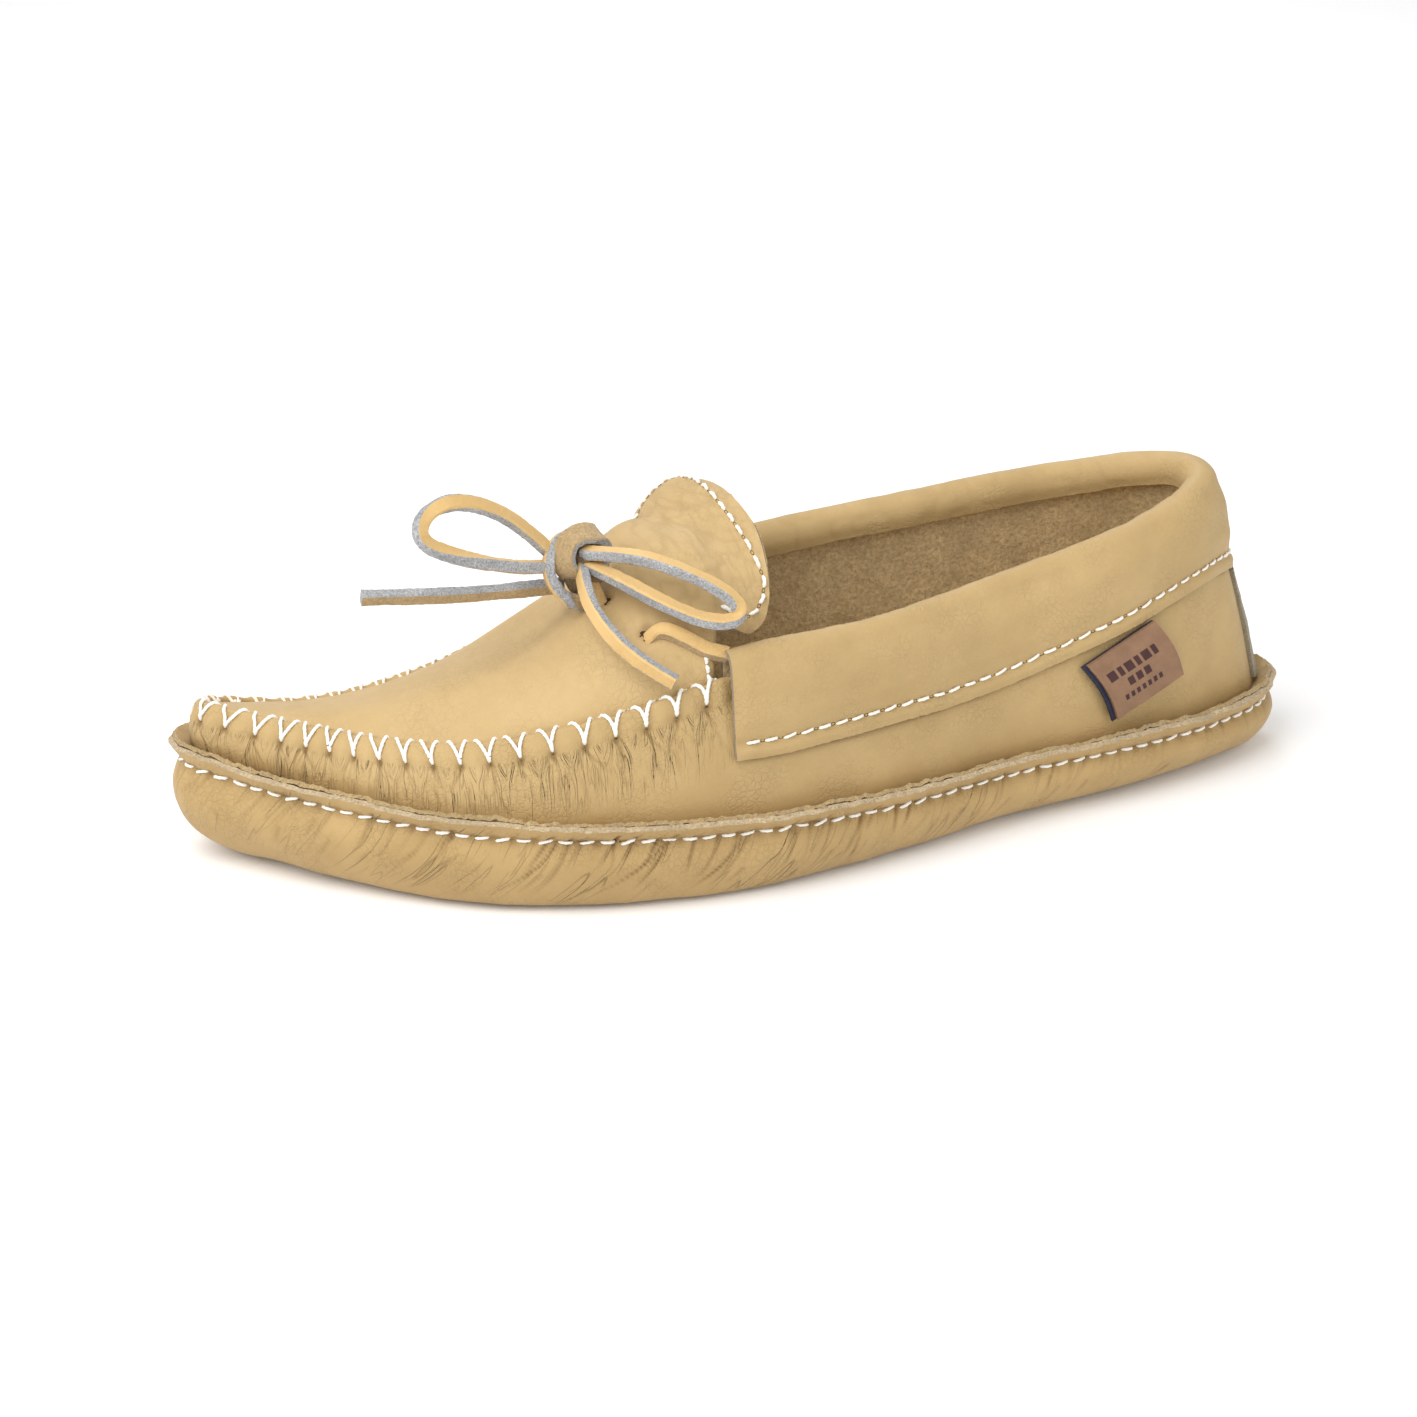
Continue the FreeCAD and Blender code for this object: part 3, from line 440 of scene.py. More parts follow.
# ---------------------------------------------------------------- materials
class Nodes:
    """Short forms for making a material's node tree."""

    def __init__(self, name):
        self.material = bpy.data.materials.new(name)
        self.material.use_nodes = True
        self.tree = self.material.node_tree
        self.shader = self.tree.nodes["Principled BSDF"]
        self.coordinates = self.tree.nodes.new("ShaderNodeTexCoord").outputs["Object"]

    def add(self, kind, **values):
        node = self.tree.nodes.new(kind)
        for key, value in values.items():
            if hasattr(node, key):
                setattr(node, key, value)
            else:
                node.inputs[key.replace("_", " ")].default_value = value
        return node

    def set(self, **values):
        """Sets sockets of the shader itself."""
        for key, value in values.items():
            self.shader.inputs[key.replace("_", " ")].default_value = value

    def link(self, source, target):
        self.tree.links.new(source, target)

    def noise(self, size, detail=3.0, roughness=0.6, stretch=None):
        node = self.add("ShaderNodeTexNoise", Scale=1 / size, Detail=detail, Roughness=roughness)
        source = self.coordinates
        if stretch is not None:
            mapping = self.add("ShaderNodeMapping")
            mapping.inputs["Scale"].default_value = stretch
            self.link(source, mapping.inputs["Vector"])
            source = mapping.outputs["Vector"]
        self.link(source, node.inputs["Vector"])
        return node.outputs["Fac"]

    def cells(self, size, feature="F1", wobble=0.0):
        node = self.add("ShaderNodeTexVoronoi", feature=feature, Scale=1 / size)
        source = self.coordinates
        if wobble:
            noise = self.add("ShaderNodeTexNoise", Scale=1 / size, Detail=2.0)
            self.link(source, noise.inputs["Vector"])
            shifted = self.add("ShaderNodeVectorMath", operation="SCALE")
            self.link(noise.outputs["Color"], shifted.inputs[0])
            shifted.inputs["Scale"].default_value = wobble
            joined = self.add("ShaderNodeVectorMath", operation="ADD")
            self.link(source, joined.inputs[0])
            self.link(shifted.outputs[0], joined.inputs[1])
            source = joined.outputs[0]
        self.link(source, node.inputs["Vector"])
        return node.outputs["Distance"]

    def remap(self, source, low, high, out_low=0.0, out_high=1.0):
        node = self.add("ShaderNodeMapRange", From_Min=low, From_Max=high, To_Min=out_low, To_Max=out_high)
        self.link(source, node.inputs["Value"])
        return node.outputs["Result"]

    def maths(self, operation, a, b):
        node = self.add("ShaderNodeMath", operation=operation)
        for value, socket in ((a, node.inputs[0]), (b, node.inputs[1])):
            if isinstance(value, (int, float)):
                socket.default_value = value
            else:
                self.link(value, socket)
        return node.outputs[0]

    def mix(self, factor, a, b, blend_type="MIX"):
        node = self.add("ShaderNodeMix", data_type="RGBA", blend_type=blend_type)
        if isinstance(factor, (int, float)):
            node.inputs[0].default_value = factor
        else:
            self.link(factor, node.inputs[0])
        for value, socket in ((a, node.inputs[6]), (b, node.inputs[7])):
            if isinstance(value, tuple):
                socket.default_value = (*value, 1)
            else:
                self.link(value, socket)
        return node.outputs[2]

    # The mesh's painted shade attribute, dark in creases, pits and pinches.
    def shade(self):
        return self.add("ShaderNodeAttribute", attribute_name="shade").outputs["Fac"]

    def bump(self, height, distance, strength=1.0, normal=None):
        node = self.add("ShaderNodeBump", Distance=distance, Strength=strength)
        self.link(height, node.inputs["Height"])
        if normal is not None:
            self.link(normal, node.inputs["Normal"])
        return node.outputs["Normal"]

    def finish(self, colour, normal, roughness=None):
        self.link(colour, self.shader.inputs["Base Color"])
        self.link(normal, self.shader.inputs["Normal"])
        if roughness is not None:
            self.link(roughness, self.shader.inputs["Roughness"])
        return self.material


def fold_lines(n, across, along, sharpness, seed):
    """Thin broken lines that run along the folds laid out in the mesh's fold attribute."""
    place = n.add("ShaderNodeSeparateXYZ")
    n.link(n.add("ShaderNodeAttribute", attribute_name="fold").outputs["Vector"], place.inputs[0])
    joined = n.add("ShaderNodeCombineXYZ", Z=seed)
    n.link(n.maths("MULTIPLY", place.outputs[0], 1 / across), joined.inputs[0])
    n.link(n.maths("MULTIPLY", place.outputs[1], 1 / along), joined.inputs[1])
    wave = n.add("ShaderNodeTexNoise", Scale=1.0, Detail=1.0, Roughness=0.4, Distortion=0.1)
    n.link(joined.outputs[0], wave.inputs["Vector"])
    offset = n.maths("ABSOLUTE", n.maths("SUBTRACT", wave.outputs["Fac"], 0.5), 0)
    line = n.remap(offset, 0.0, sharpness, 1.0, 0.0)
    gate = n.add("ShaderNodeTexNoise", Scale=0.45, Detail=1.0)
    n.link(joined.outputs[0], gate.inputs["Vector"])
    broken = n.maths("MULTIPLY", line, n.remap(gate.outputs["Fac"], 0.44, 0.58))
    return n.maths("MULTIPLY", broken, place.outputs[2])


def leather(name, light, deep, crinkle=0.10, crinkle_size=1.6, folds=()):
    """Smooth deer leather: soft blotches, fine pores, a net of small creases darkened as painted shade, and
    painted shade along the deep folds.
    """
    n = Nodes(name)
    blotch = n.remap(n.noise(22 * MM, 3.0), 0.35, 0.68)
    fine = n.remap(n.noise(1.1 * MM, 4.0), 0.3, 0.7)
    grit = n.remap(n.noise(0.35 * MM, 2.0), 0.3, 0.7)
    colour = n.mix(blotch, deep, light)
    colour = n.mix(n.maths("MULTIPLY", fine, 0.16), colour, tuple(c * 0.82 for c in deep))
    colour = n.mix(n.maths("MULTIPLY", grit, 0.14), colour, tuple(c * 0.74 for c in deep))
    net = n.cells(crinkle_size * MM, "DISTANCE_TO_EDGE", wobble=0.8 * crinkle_size * MM)
    net_line = n.remap(net, 0.0, 0.14, 1.0, 0.0)
    patch = n.remap(n.noise(14 * MM, 2.0), 0.42, 0.62)
    net_line = n.maths("MULTIPLY", net_line, patch)
    # The crease net's lines are darkened: painted shade in the small creases, which the bump below also
    # sinks.
    colour = n.mix(n.maths("MULTIPLY", net_line, 0.14), colour, tuple(c * 0.62 for c in deep))
    # dark is the painted shade's colour; the mesh's shade attribute mixes it in at creases, pits and
    # pinches.
    dark = tuple(c * s for c, s in zip(deep, (0.42, 0.36, 0.28)))
    colour = n.mix(n.maths("MULTIPLY", n.remap(n.shade(), 0.0, 1.0), 0.85), colour, dark)
    pore = n.remap(n.cells(0.42 * MM), 0.0, 0.5)
    normal = n.bump(pore, 0.05 * MM, 0.6)
    normal = n.bump(net_line, -crinkle * MM, 0.8, normal)
    normal = n.bump(n.noise(2.6 * MM, 3.0), 0.14 * MM, 0.7, normal)
    for seed, (across, along, sharpness, strength, depth) in enumerate(folds):
        line = fold_lines(n, across * MM, along * MM, sharpness, 3.7 * seed + 0.5)
        # Each fold line is darkened as painted shade and sunk by the bump.
        colour = n.mix(n.maths("MULTIPLY", line, strength), colour, dark)
        normal = n.bump(line, -depth * MM, 1.0, normal)
    n.set(Specular_IOR_Level=0.30, Sheen_Weight=0.06, Sheen_Roughness=0.5)
    roughness = n.remap(n.noise(5 * MM, 3.0), 0.3, 0.7, 0.52, 0.68)
    return n.finish(colour, normal, roughness)


def suede(name, light, deep, nap=0.8, sheen=0.25, depth=0.35):
    """Napped leather: short tufts in two sizes, brushed light and dark."""
    n = Nodes(name)
    tuft = n.noise(nap * MM, 5.0, 0.75)
    brushed = n.remap(n.noise(9 * MM, 3.0), 0.35, 0.65)
    speck = n.remap(tuft, 0.34, 0.66)
    colour = n.mix(speck, deep, light)
    colour = n.mix(n.maths("MULTIPLY", brushed, 0.35), colour, tuple(c * 0.72 for c in deep))
    # The mesh's shade attribute, held in fold, darkens the nap: painted shade in folds and hollows.
    fold = n.shade()
    colour = n.mix(n.maths("MULTIPLY", fold, 0.7), colour, tuple(c * 0.35 for c in deep))
    normal = n.bump(tuft, depth * MM, 0.9)
    normal = n.bump(n.noise(2.5 * nap * MM, 3.0), depth * MM, 0.7, normal)
    n.set(Roughness=0.95, Specular_IOR_Level=0.15, Sheen_Weight=sheen, Sheen_Roughness=0.6)
    return n.finish(colour, normal)


def waxed_thread():
    """Off-white waxed thread with a fibrous surface."""
    n = Nodes("waxed_thread")
    fibre = n.noise(0.22 * MM, 3.0)
    colour = n.mix(n.remap(fibre, 0.3, 0.7), (0.86, 0.83, 0.75), (0.97, 0.96, 0.92))
    normal = n.bump(fibre, 0.06 * MM, 0.8)
    n.set(Roughness=0.55, Specular_IOR_Level=0.4)
    return n.finish(colour, normal)


def dark_hole():
    """The unlit inside of a needle hole."""
    n = Nodes("needle_hole_dark")
    colour = n.mix(n.noise(0.4 * MM), (0.035, 0.022, 0.010), (0.09, 0.06, 0.03))
    n.set(Roughness=1.0, Specular_IOR_Level=0.0)
    return n.finish(colour, n.bump(n.noise(0.3 * MM), 0.1 * MM))


def foam_cells():
    """Open-cell foam; each cell is darker toward its sunken middle, as painted shade in the pores."""
    n = Nodes("pad_foam")
    cell = n.cells(0.7 * MM)
    colour = n.mix(n.remap(cell, 0.0, 0.6), (0.42, 0.40, 0.33), (0.72, 0.70, 0.62))
    n.set(Roughness=0.9)
    return n.finish(colour, n.bump(cell, 0.2 * MM))


def woven_label(name, light, deep):
    """A dense woven tape: warp and weft seen as a fine grid."""
    n = Nodes(name)
    threads = []
    for direction in ("Z", "X"):
        bands = n.add("ShaderNodeTexWave", Scale=1 / (1.6 * MM), Distortion=0.6, bands_direction=direction)
        n.link(n.coordinates, bands.inputs["Vector"])
        threads.append(bands.outputs["Fac"])
    weave = n.maths("MULTIPLY", *threads)
    blotch = n.remap(n.noise(4 * MM, 4.0), 0.3, 0.7)
    colour = n.mix(blotch, deep, light)
    colour = n.mix(n.maths("MULTIPLY", weave, 0.15), colour, tuple(c * 0.7 for c in deep))
    normal = n.bump(weave, 0.05 * MM, 0.6)
    normal = n.bump(n.noise(1.5 * MM, 4.0), 0.10 * MM, 0.6, normal)
    n.set(Roughness=0.62, Specular_IOR_Level=0.3)
    return n.finish(colour, normal)


GRAIN = leather("grain_leather", (0.545, 0.380, 0.172), (0.475, 0.325, 0.140))
WALL_GRAIN = leather("wall_leather", (0.545, 0.380, 0.172), (0.475, 0.325, 0.140),
                     folds=((1.3, 11, 0.045, 0.36, 0.24), (0.8, 7, 0.07, 0.24, 0.14)))
# A darker copy of the upper's tan for the sole's lower side: painted shade, as less light falls there.
SOLE_GRAIN = leather("sole_leather", (0.520, 0.352, 0.150), (0.440, 0.293, 0.120), crinkle=0.13,
                     folds=((4.2, 26, 0.020, 0.55, 0.30), (2.0, 14, 0.03, 0.28, 0.15)))
# A lighter copy of the upper's tan for the plug, which faces up: painted light.
PLUG_GRAIN = leather("plug_leather", (0.590, 0.415, 0.195), (0.530, 0.368, 0.166), crinkle=0.08,
                     crinkle_size=2.0)
FUZZ_EDGE = suede("fuzzy_edge", (0.66, 0.47, 0.22), (0.33, 0.22, 0.09), nap=0.6, depth=0.6)
PALE_EDGE = suede("pale_cut_edge", (0.76, 0.60, 0.39), (0.40, 0.29, 0.15), nap=0.7, depth=0.6)
# Much darker than the other cut edges: the cut edge's own tone plus painted shade along the cuff's
# downward-facing lower edge.
CUFF_EDGE = suede("cuff_cut_edge", (0.38, 0.29, 0.17), (0.17, 0.12, 0.06), nap=0.5, depth=0.3)
# Set far lighter than the suede's own tone so that the shoe's inside, which gets little light, looks lit:
# painted light.
INNER_SUEDE = suede("inner_suede", (0.97, 0.74, 0.40), (0.50, 0.34, 0.145), nap=1.1, sheen=0.4, depth=0.6)
LINING_SUEDE = suede("lining_suede", (0.78, 0.66, 0.47), (0.55, 0.43, 0.27), nap=0.6)
STRIP_SUEDE = suede("strip_suede", (0.42, 0.36, 0.25), (0.24, 0.20, 0.13), nap=0.6)
LACE_GRAIN = leather("lace_grain", (0.74, 0.50, 0.215), (0.66, 0.435, 0.175), crinkle=0.06,
                     crinkle_size=1.0)
LACE_FLESH = suede("lace_flesh", (0.60, 0.43, 0.22), (0.34, 0.225, 0.10), nap=0.6)
# Dark lump material: painted shade for the shaded strands inside the knot.
KNOT_DARK = suede("knot_inside_shade", (0.30, 0.20, 0.095), (0.12, 0.075, 0.03), nap=0.6)
LACE_CUT = suede("lace_cut", (0.66, 0.66, 0.66), (0.20, 0.205, 0.215), nap=0.5, sheen=0.1, depth=0.35)
THREAD_WHITE = waxed_thread()
HOLE_DARK = dark_hole()
FOAM = foam_cells()
LABEL_TAN = woven_label("label_tan", (0.30, 0.172, 0.098), (0.235, 0.130, 0.073))
LABEL_NAVY = woven_label("label_navy", (0.035, 0.038, 0.075), (0.015, 0.016, 0.04))
LABEL_MARKS = woven_label("label_marks", (0.075, 0.030, 0.028), (0.045, 0.018, 0.018))


# ---------------------------------------------------------------- thread and needle holes
class Bits:
    """Many small closed bits gathered into one mesh."""

    def __init__(self):
        self.points, self.faces = [], []
        self.count = 0

    def tube(self, path, radius, sides=8, twist=2.2):
        """A plied thread along a path, drawn to a point at both ends."""
        path = np.asarray(path, float)
        tangent = unit(np.gradient(path, axis=0))
        side = unit(np.cross(tangent, tangent[len(path) // 2] + np.array([0.31, 0.17, 0.93])))
        other = np.cross(tangent, side)
        along = lengths(path)
        taper = np.minimum(1, 0.35 + np.minimum(along, along[-1] - along) / (1.2 * radius))
        angle = np.linspace(0, 2 * math.pi, sides, endpoint=False)
        ply = 1 + 0.14 * np.cos(2 * (angle[None] - twist * along[:, None] / radius / 2))
        reach = (radius * taper)[:, None] * ply
        rings = (path[:, None] + reach[..., None] * (np.cos(angle)[None, :, None] * side[:, None]
                                                      + np.sin(angle)[None, :, None] * other[:, None]))
        faces, _ = grid_faces(len(path), sides, False, True)
        self.take(rings.reshape(-1, 3), faces.tolist()
                  + [list(range(sides)), [len(path) * sides - 1 - k for k in range(sides)]])

    def dimple(self, centre, normal, along, long, wide):
        """A small sunk hole with a raised, worn lip."""
        along = unit(along - normal * (along @ normal))
        across = np.cross(normal, along)
        sides = 10
        angle = np.linspace(0, 2 * math.pi, sides, endpoint=False)
        rim = np.cos(angle)[:, None] * along * long + np.sin(angle)[:, None] * across * wide
        rings = [centre + rim + normal * 0.02 * MM, centre + rim * 0.8 + normal * 0.07 * MM,
                 centre + rim * 0.45 - normal * 0.10 * MM]
        faces, _ = grid_faces(len(rings), sides, False, True)
        self.take(np.concatenate(rings), faces.tolist() + [[2 * sides + k for k in range(sides)]])

    def take(self, points, faces):
        """Adds one bit's points and faces."""
        self.points.append(points)
        self.faces += [[index + self.count for index in face] for face in faces]
        self.count += len(points)

    def build(self, name, material):
        """All the bits as one object."""
        slots = np.zeros(len(self.faces))
        return make_mesh(name, np.concatenate(self.points), self.faces, slots, [material])


def running_stitches(sample, count, first, last, threads, holes, radius=FINE_THREAD, fill=0.72):
    """Straight stitches along a surface; sample(share, side, lift) gives points just above it."""
    pitch = (last - first) / count
    for index in range(count):
        start = first + pitch * (index + 0.5 * (1 - fill)) + pitch * chance.uniform(-0.03, 0.03)
        slant = chance.uniform(-0.1, 0.35) * MM
        shares = np.array([start, start + pitch * fill])
        ends = sample(shares, np.array([slant, -slant]), np.full(2, -0.4 * radius))
        middle = sample(np.array([start + pitch * fill / 2]), np.zeros(1), np.array([radius]))[0]
        bow = middle - (ends[0] + ends[1]) / 2
        part = np.linspace(0, 1, 9)[:, None]
        height = 1.15 * (1 - np.abs(2 * part - 1) ** 2.6)
        threads.tube(ends[0] + (ends[1] - ends[0]) * part + bow * height, radius * chance.uniform(0.9, 1.1))
        hole_share = first + pitch * index
        near = sample(hole_share + 0.2 * pitch * np.array([-1, 0, 1]), np.zeros(3), np.zeros(3))
        above = sample(np.array([hole_share]), np.zeros(1), np.array([MM]))[0]
        holes.dimple(near[1], unit(above - near[1]), near[2] - near[0], 0.72 * MM, 0.42 * MM)


# ---------------------------------------------------------------- sole
SOLE_COLUMNS = 1400
EDGE_OF_SOLE, EDGE_OF_WALL, EDGE_GAP = 1.4 * MM, 1.1 * MM, 0.1 * MM    # thicknesses at the cut edges


def ruffle(share, seed):
    """How far the turned-out edge wanders outward and upward, at shares of the way round."""
    angle = share * 2 * math.pi
    circle = np.stack([np.cos(angle), np.sin(angle), np.zeros_like(angle)], axis=-1) * ROUND / (2 * math.pi)
    out = 0.50 * MM * rough(circle, 11 * MM, seed) + 0.30 * MM * rough(circle, 3.0 * MM, seed + 1)
    up = 0.40 * MM * rough(circle, 14 * MM, seed + 2) + 0.28 * MM * rough(circle, 2.2 * MM, seed + 3)
    return np.stack([out, up], axis=-1)


def spine_rows(edge, rows, snap=150):
    """Rows of points from a ring in to the spine, where both sides meet."""
    run = SPINE[1] - SPINE[0]
    part = np.clip((edge[:, :2] - SPINE[0]) @ run / (run @ run), 0, 1)
    part = np.round(part * snap) / snap
    middle = np.concatenate([SPINE[0] + part[:, None] * run, edge[:, 2:]], axis=1)
    f = np.linspace(0, 1, rows)[None, :, None]
    return middle[:, None] * (1 - f) + edge[:, None] * f


def along_rows(points):
    """The distance along the surface from the first row, in every column."""
    steps = np.linalg.norm(np.diff(points, axis=1), axis=2)
    return np.concatenate([np.zeros((len(points), 1)), np.cumsum(steps, axis=1)], axis=1)


def rag(points, size, amount, seed):
    """Moves points at random in all three axes, as a torn or fuzzy edge."""
    moved = [rough(points, size, seed + axis) for axis in range(3)]
    return points + amount * np.stack(moved, axis=-1)


def make_outsole():
    """A dished sole with creases running down from its stitches and a ragged cut edge."""
    shares = np.arange(SOLE_COLUMNS) / SOLE_COLUMNS
    ring = around(shares)
    line = sole_line(ring)
    line[:, -1] += ruffle(shares, 3)
    inner = shift(line, SOLE)
    inner[:, 0, 1] = SOLE
    inner[:, -1] = line[:, -1] + (inner[:, -1] - line[:, -1]) * EDGE_OF_SOLE / SOLE
    side = space(ring, curve(line[:, :5], 34))
    flange = space(ring, curve(line[:, 4:], 10))
    edge_keys = [line[:, 5], (line[:, 5] + inner[:, 5]) / 2, inner[:, 5]]
    edge = space(ring, curve(np.stack(edge_keys, axis=1), 5))
    edge[:, 1:-1] = rag(edge[:, 1:-1], 1.0 * MM, 0.42 * MM, 11)
    back = space(ring, curve(inner[:, ::-1], 9))
    bottom = spine_rows(side[:, 0], 7)
    floor = spine_rows(back[:, -1], 2)[:, ::-1]
    segments = [(bottom, 0), (side, 0), (flange, 0), (edge, 1), (back, 2), (floor, 2)]
    grid = Grid(segments, True, False, shares)
    first = bottom.shape[1] - 1
    seam_row = first + side.shape[1] - 1
    last = seam_row + flange.shape[1] - 1
    outer = grid.points[:, first:last + 1]
    down = along_rows(outer)
    down = down[:, seam_row - first][:, None] - down
    stitches = int(ROUND / STITCH_PITCH)
    lines = []
    for index in range(stitches):
        start = index * ROUND / stitches
        toeward = 1 if start < ROUND * TOE_TIP else -1
        along = around(start / ROUND)
        front = float(ease((along.xy[0] + 0.09) / 0.12) * (1 - 0.6 * ease((along.xy[0] - 0.075) / 0.05)))
        for _ in range(chance.integers(0, 3)):
            reach = chance.uniform(5, 10 + 9 * front) * MM
            slope = toeward * chance.uniform(0.25, 0.95) * (0.5 + 0.5 * front)
            lines.append((start + chance.normal(0, 0.6) * MM, chance.uniform(-3.6, 0.4) * MM, reach, slope,
                          toeward * chance.uniform(-8, 26),
                          (0.10 + 0.22 * front) * chance.uniform(0.4, 1.3) * MM,
                          chance.uniform(0.36, 0.6) * MM))
    for _ in range(50):
        start = chance.uniform(0, ROUND)
        toeward = 1 if start < ROUND * TOE_TIP else -1
        first_t = chance.uniform(2, 9) * MM
        lines.append((start, first_t, first_t + chance.uniform(4, 10) * MM,
                      toeward * chance.uniform(0.3, 1.3), toeward * chance.uniform(-20, 30),
                      chance.uniform(0.08, 0.2) * MM, chance.uniform(0.36, 0.6) * MM))
    cut = creases(shares * ROUND, down, lines)
    gather = 0.5 + 0.5 * np.cos(2 * math.pi * stitches * shares)[:, None]
    pinch = (0.30 * gather + 0.15) * MM * np.exp(-(down / (1.2 * MM)) ** 2)
    swell = 0.25 * MM * rough(outer, 9 * MM, 5) + 0.10 * MM * rough(outer, 3 * MM, 6)
    push = np.zeros(grid.points.shape[:2])
    push[:, first:last + 1] = swell - cut - pinch
    grid.push(push)
    grid.points[:, first:last + 1, 2] = np.maximum(grid.points[:, first:last + 1, 2], 0)
    # Painted shade: darker along the creases and the pinches at the stitches.
    grid.shade[:, first:last + 1] = np.clip((cut + 0.5 * pinch) / (0.40 * MM), 0, 1)
    from_toe = (TOE_TIP - shares)[:, None] * ROUND
    lean = np.tanh(from_toe / (12 * MM))
    grid.fold[:, first:last + 1, 0] = shares[:, None] * ROUND - lean * (0.55 * down + 8 * down ** 2)
    grid.fold[:, first:last + 1, 1] = down
    along = ring.xy[:, :1]
    frontness = ease((along + 90 * MM) / (110 * MM)) * (1 - 0.75 * ease((along - 75 * MM) / (50 * MM)))
    # Where the fold lines show, mostly toward the front; the sole's leather sinks and darkens them as
    # painted shade.
    grid.fold[:, first:last + 1, 2] = (ease((down + 3.8 * MM) / (1.5 * MM)) * (0.3 + 0.7 * frontness)
                                       * (1 - ease((down - 12 * MM) / (10 * MM))))
    under = rough(grid.points[:, 1:first], 7 * MM, 8)
    grid.points[:, 1:first, 2] += 0.25 * MM * (1 + under) * np.array([1, 1, 1, 0.8, 0.4])[None]
    piece = grid_object("outsole_leather", grid, [SOLE_GRAIN, PALE_EDGE, INNER_SUEDE], tidy=True)
    settle(piece, "outsole_leather", "outsole")
    return grid, seam_row, stitches


sole_grid, SOLE_SEAM_ROW, SOLE_STITCHES = make_outsole()


def pad_mesh(name, low, high, low_inset, side_inset, material, dome):
    """A pad inside the sole with rounded edges."""
    few = around(np.arange(390) / 390)
    corner = 0.8 * MM
    foot = -few.contact - low_inset
    keys = line_of(few, (foot - corner, low), (foot, low + corner * 0.4), (-side_inset, high - corner),
                   (-side_inset - corner * 0.6, high - corner * 0.2), (-side_inset - 3 * corner, high))
    side = space(few, curve(keys, 14))
    top = spine_rows(side[:, -1], 14)[:, ::-1]
    lift = dome * rough(top, 16 * MM, 21) * np.linspace(0, 1, 14)[None]
    top[..., 2] += lift
    bottom = spine_rows(side[:, 0], 3)
    grid = Grid([(bottom, 0), (side, 0), (top, 0)], True, False, few.share)
    return grid_object(name, grid, [material], tidy=True)


foam_low, foam_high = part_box("midsole_foam")
pad = pad_mesh("foam_pad", foam_low.z, foam_high.z, 0.6 * MM, 6.0 * MM, FOAM, 0)
settle(pad, "foam", "midsole_foam")
insole_low, insole_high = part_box("inner_sole")
insole = pad_mesh("inner_sole_suede", insole_low.z, insole_high.z, -5.0 * MM, 5.4 * MM, INNER_SUEDE,
                  0.5 * MM)
settle(insole, "suede", "inner_sole")


# ---------------------------------------------------------------- wall
def whip_holes():
    """The shares of the needle holes under the ridge, and the pitch between them."""
    holes = []
    for first, last in ((CUFF_START + 0.003, TOE_TIP), (TOE_TIP, CUFF_END - 0.003)):
        count = round((last - first) * ROUND / WHIP_PITCH)
        holes += [(first + (last - first) * (index + 0.5) / count, (last - first) / count)
                  for index in range(count)]
    return holes


WHIPS = whip_holes()
whip_shares = np.array([share for share, _ in WHIPS])


def front_weight(share):
    """1 where the ridge is stitched, fading to 0 under the collar."""
    return ease((share - CUFF_START + 0.012) / 0.012) * ease((CUFF_END + 0.012 - share) / 0.012)


def wall_shares():
    """Shares of the way round, closer together where the ridge is stitched."""
    low, high, dense, rest = CUFF_START - 0.012, CUFF_END + 0.012, 1130, 450
    front = np.linspace(low, high, dense, endpoint=False)
    rear = np.mod(np.linspace(high, low + 1, rest, endpoint=False), 1.0)
    return np.sort(np.concatenate([front, rear]))


def whip_fan(shares, below):
    """The distance along the ridge from the nearest whip hole, and a coordinate whose level lines
    run down the wall and close up toward the hole."""
    gap = shares[:, None] - whip_shares[None]
    nearest = np.abs(gap).argmin(axis=1)
    gap = gap[np.arange(len(shares)), nearest][:, None] * ROUND
    spread = 0.55 + 0.45 * ease(below / (6 * MM))
    return gap, whip_shares[nearest][:, None] * ROUND + gap / spread


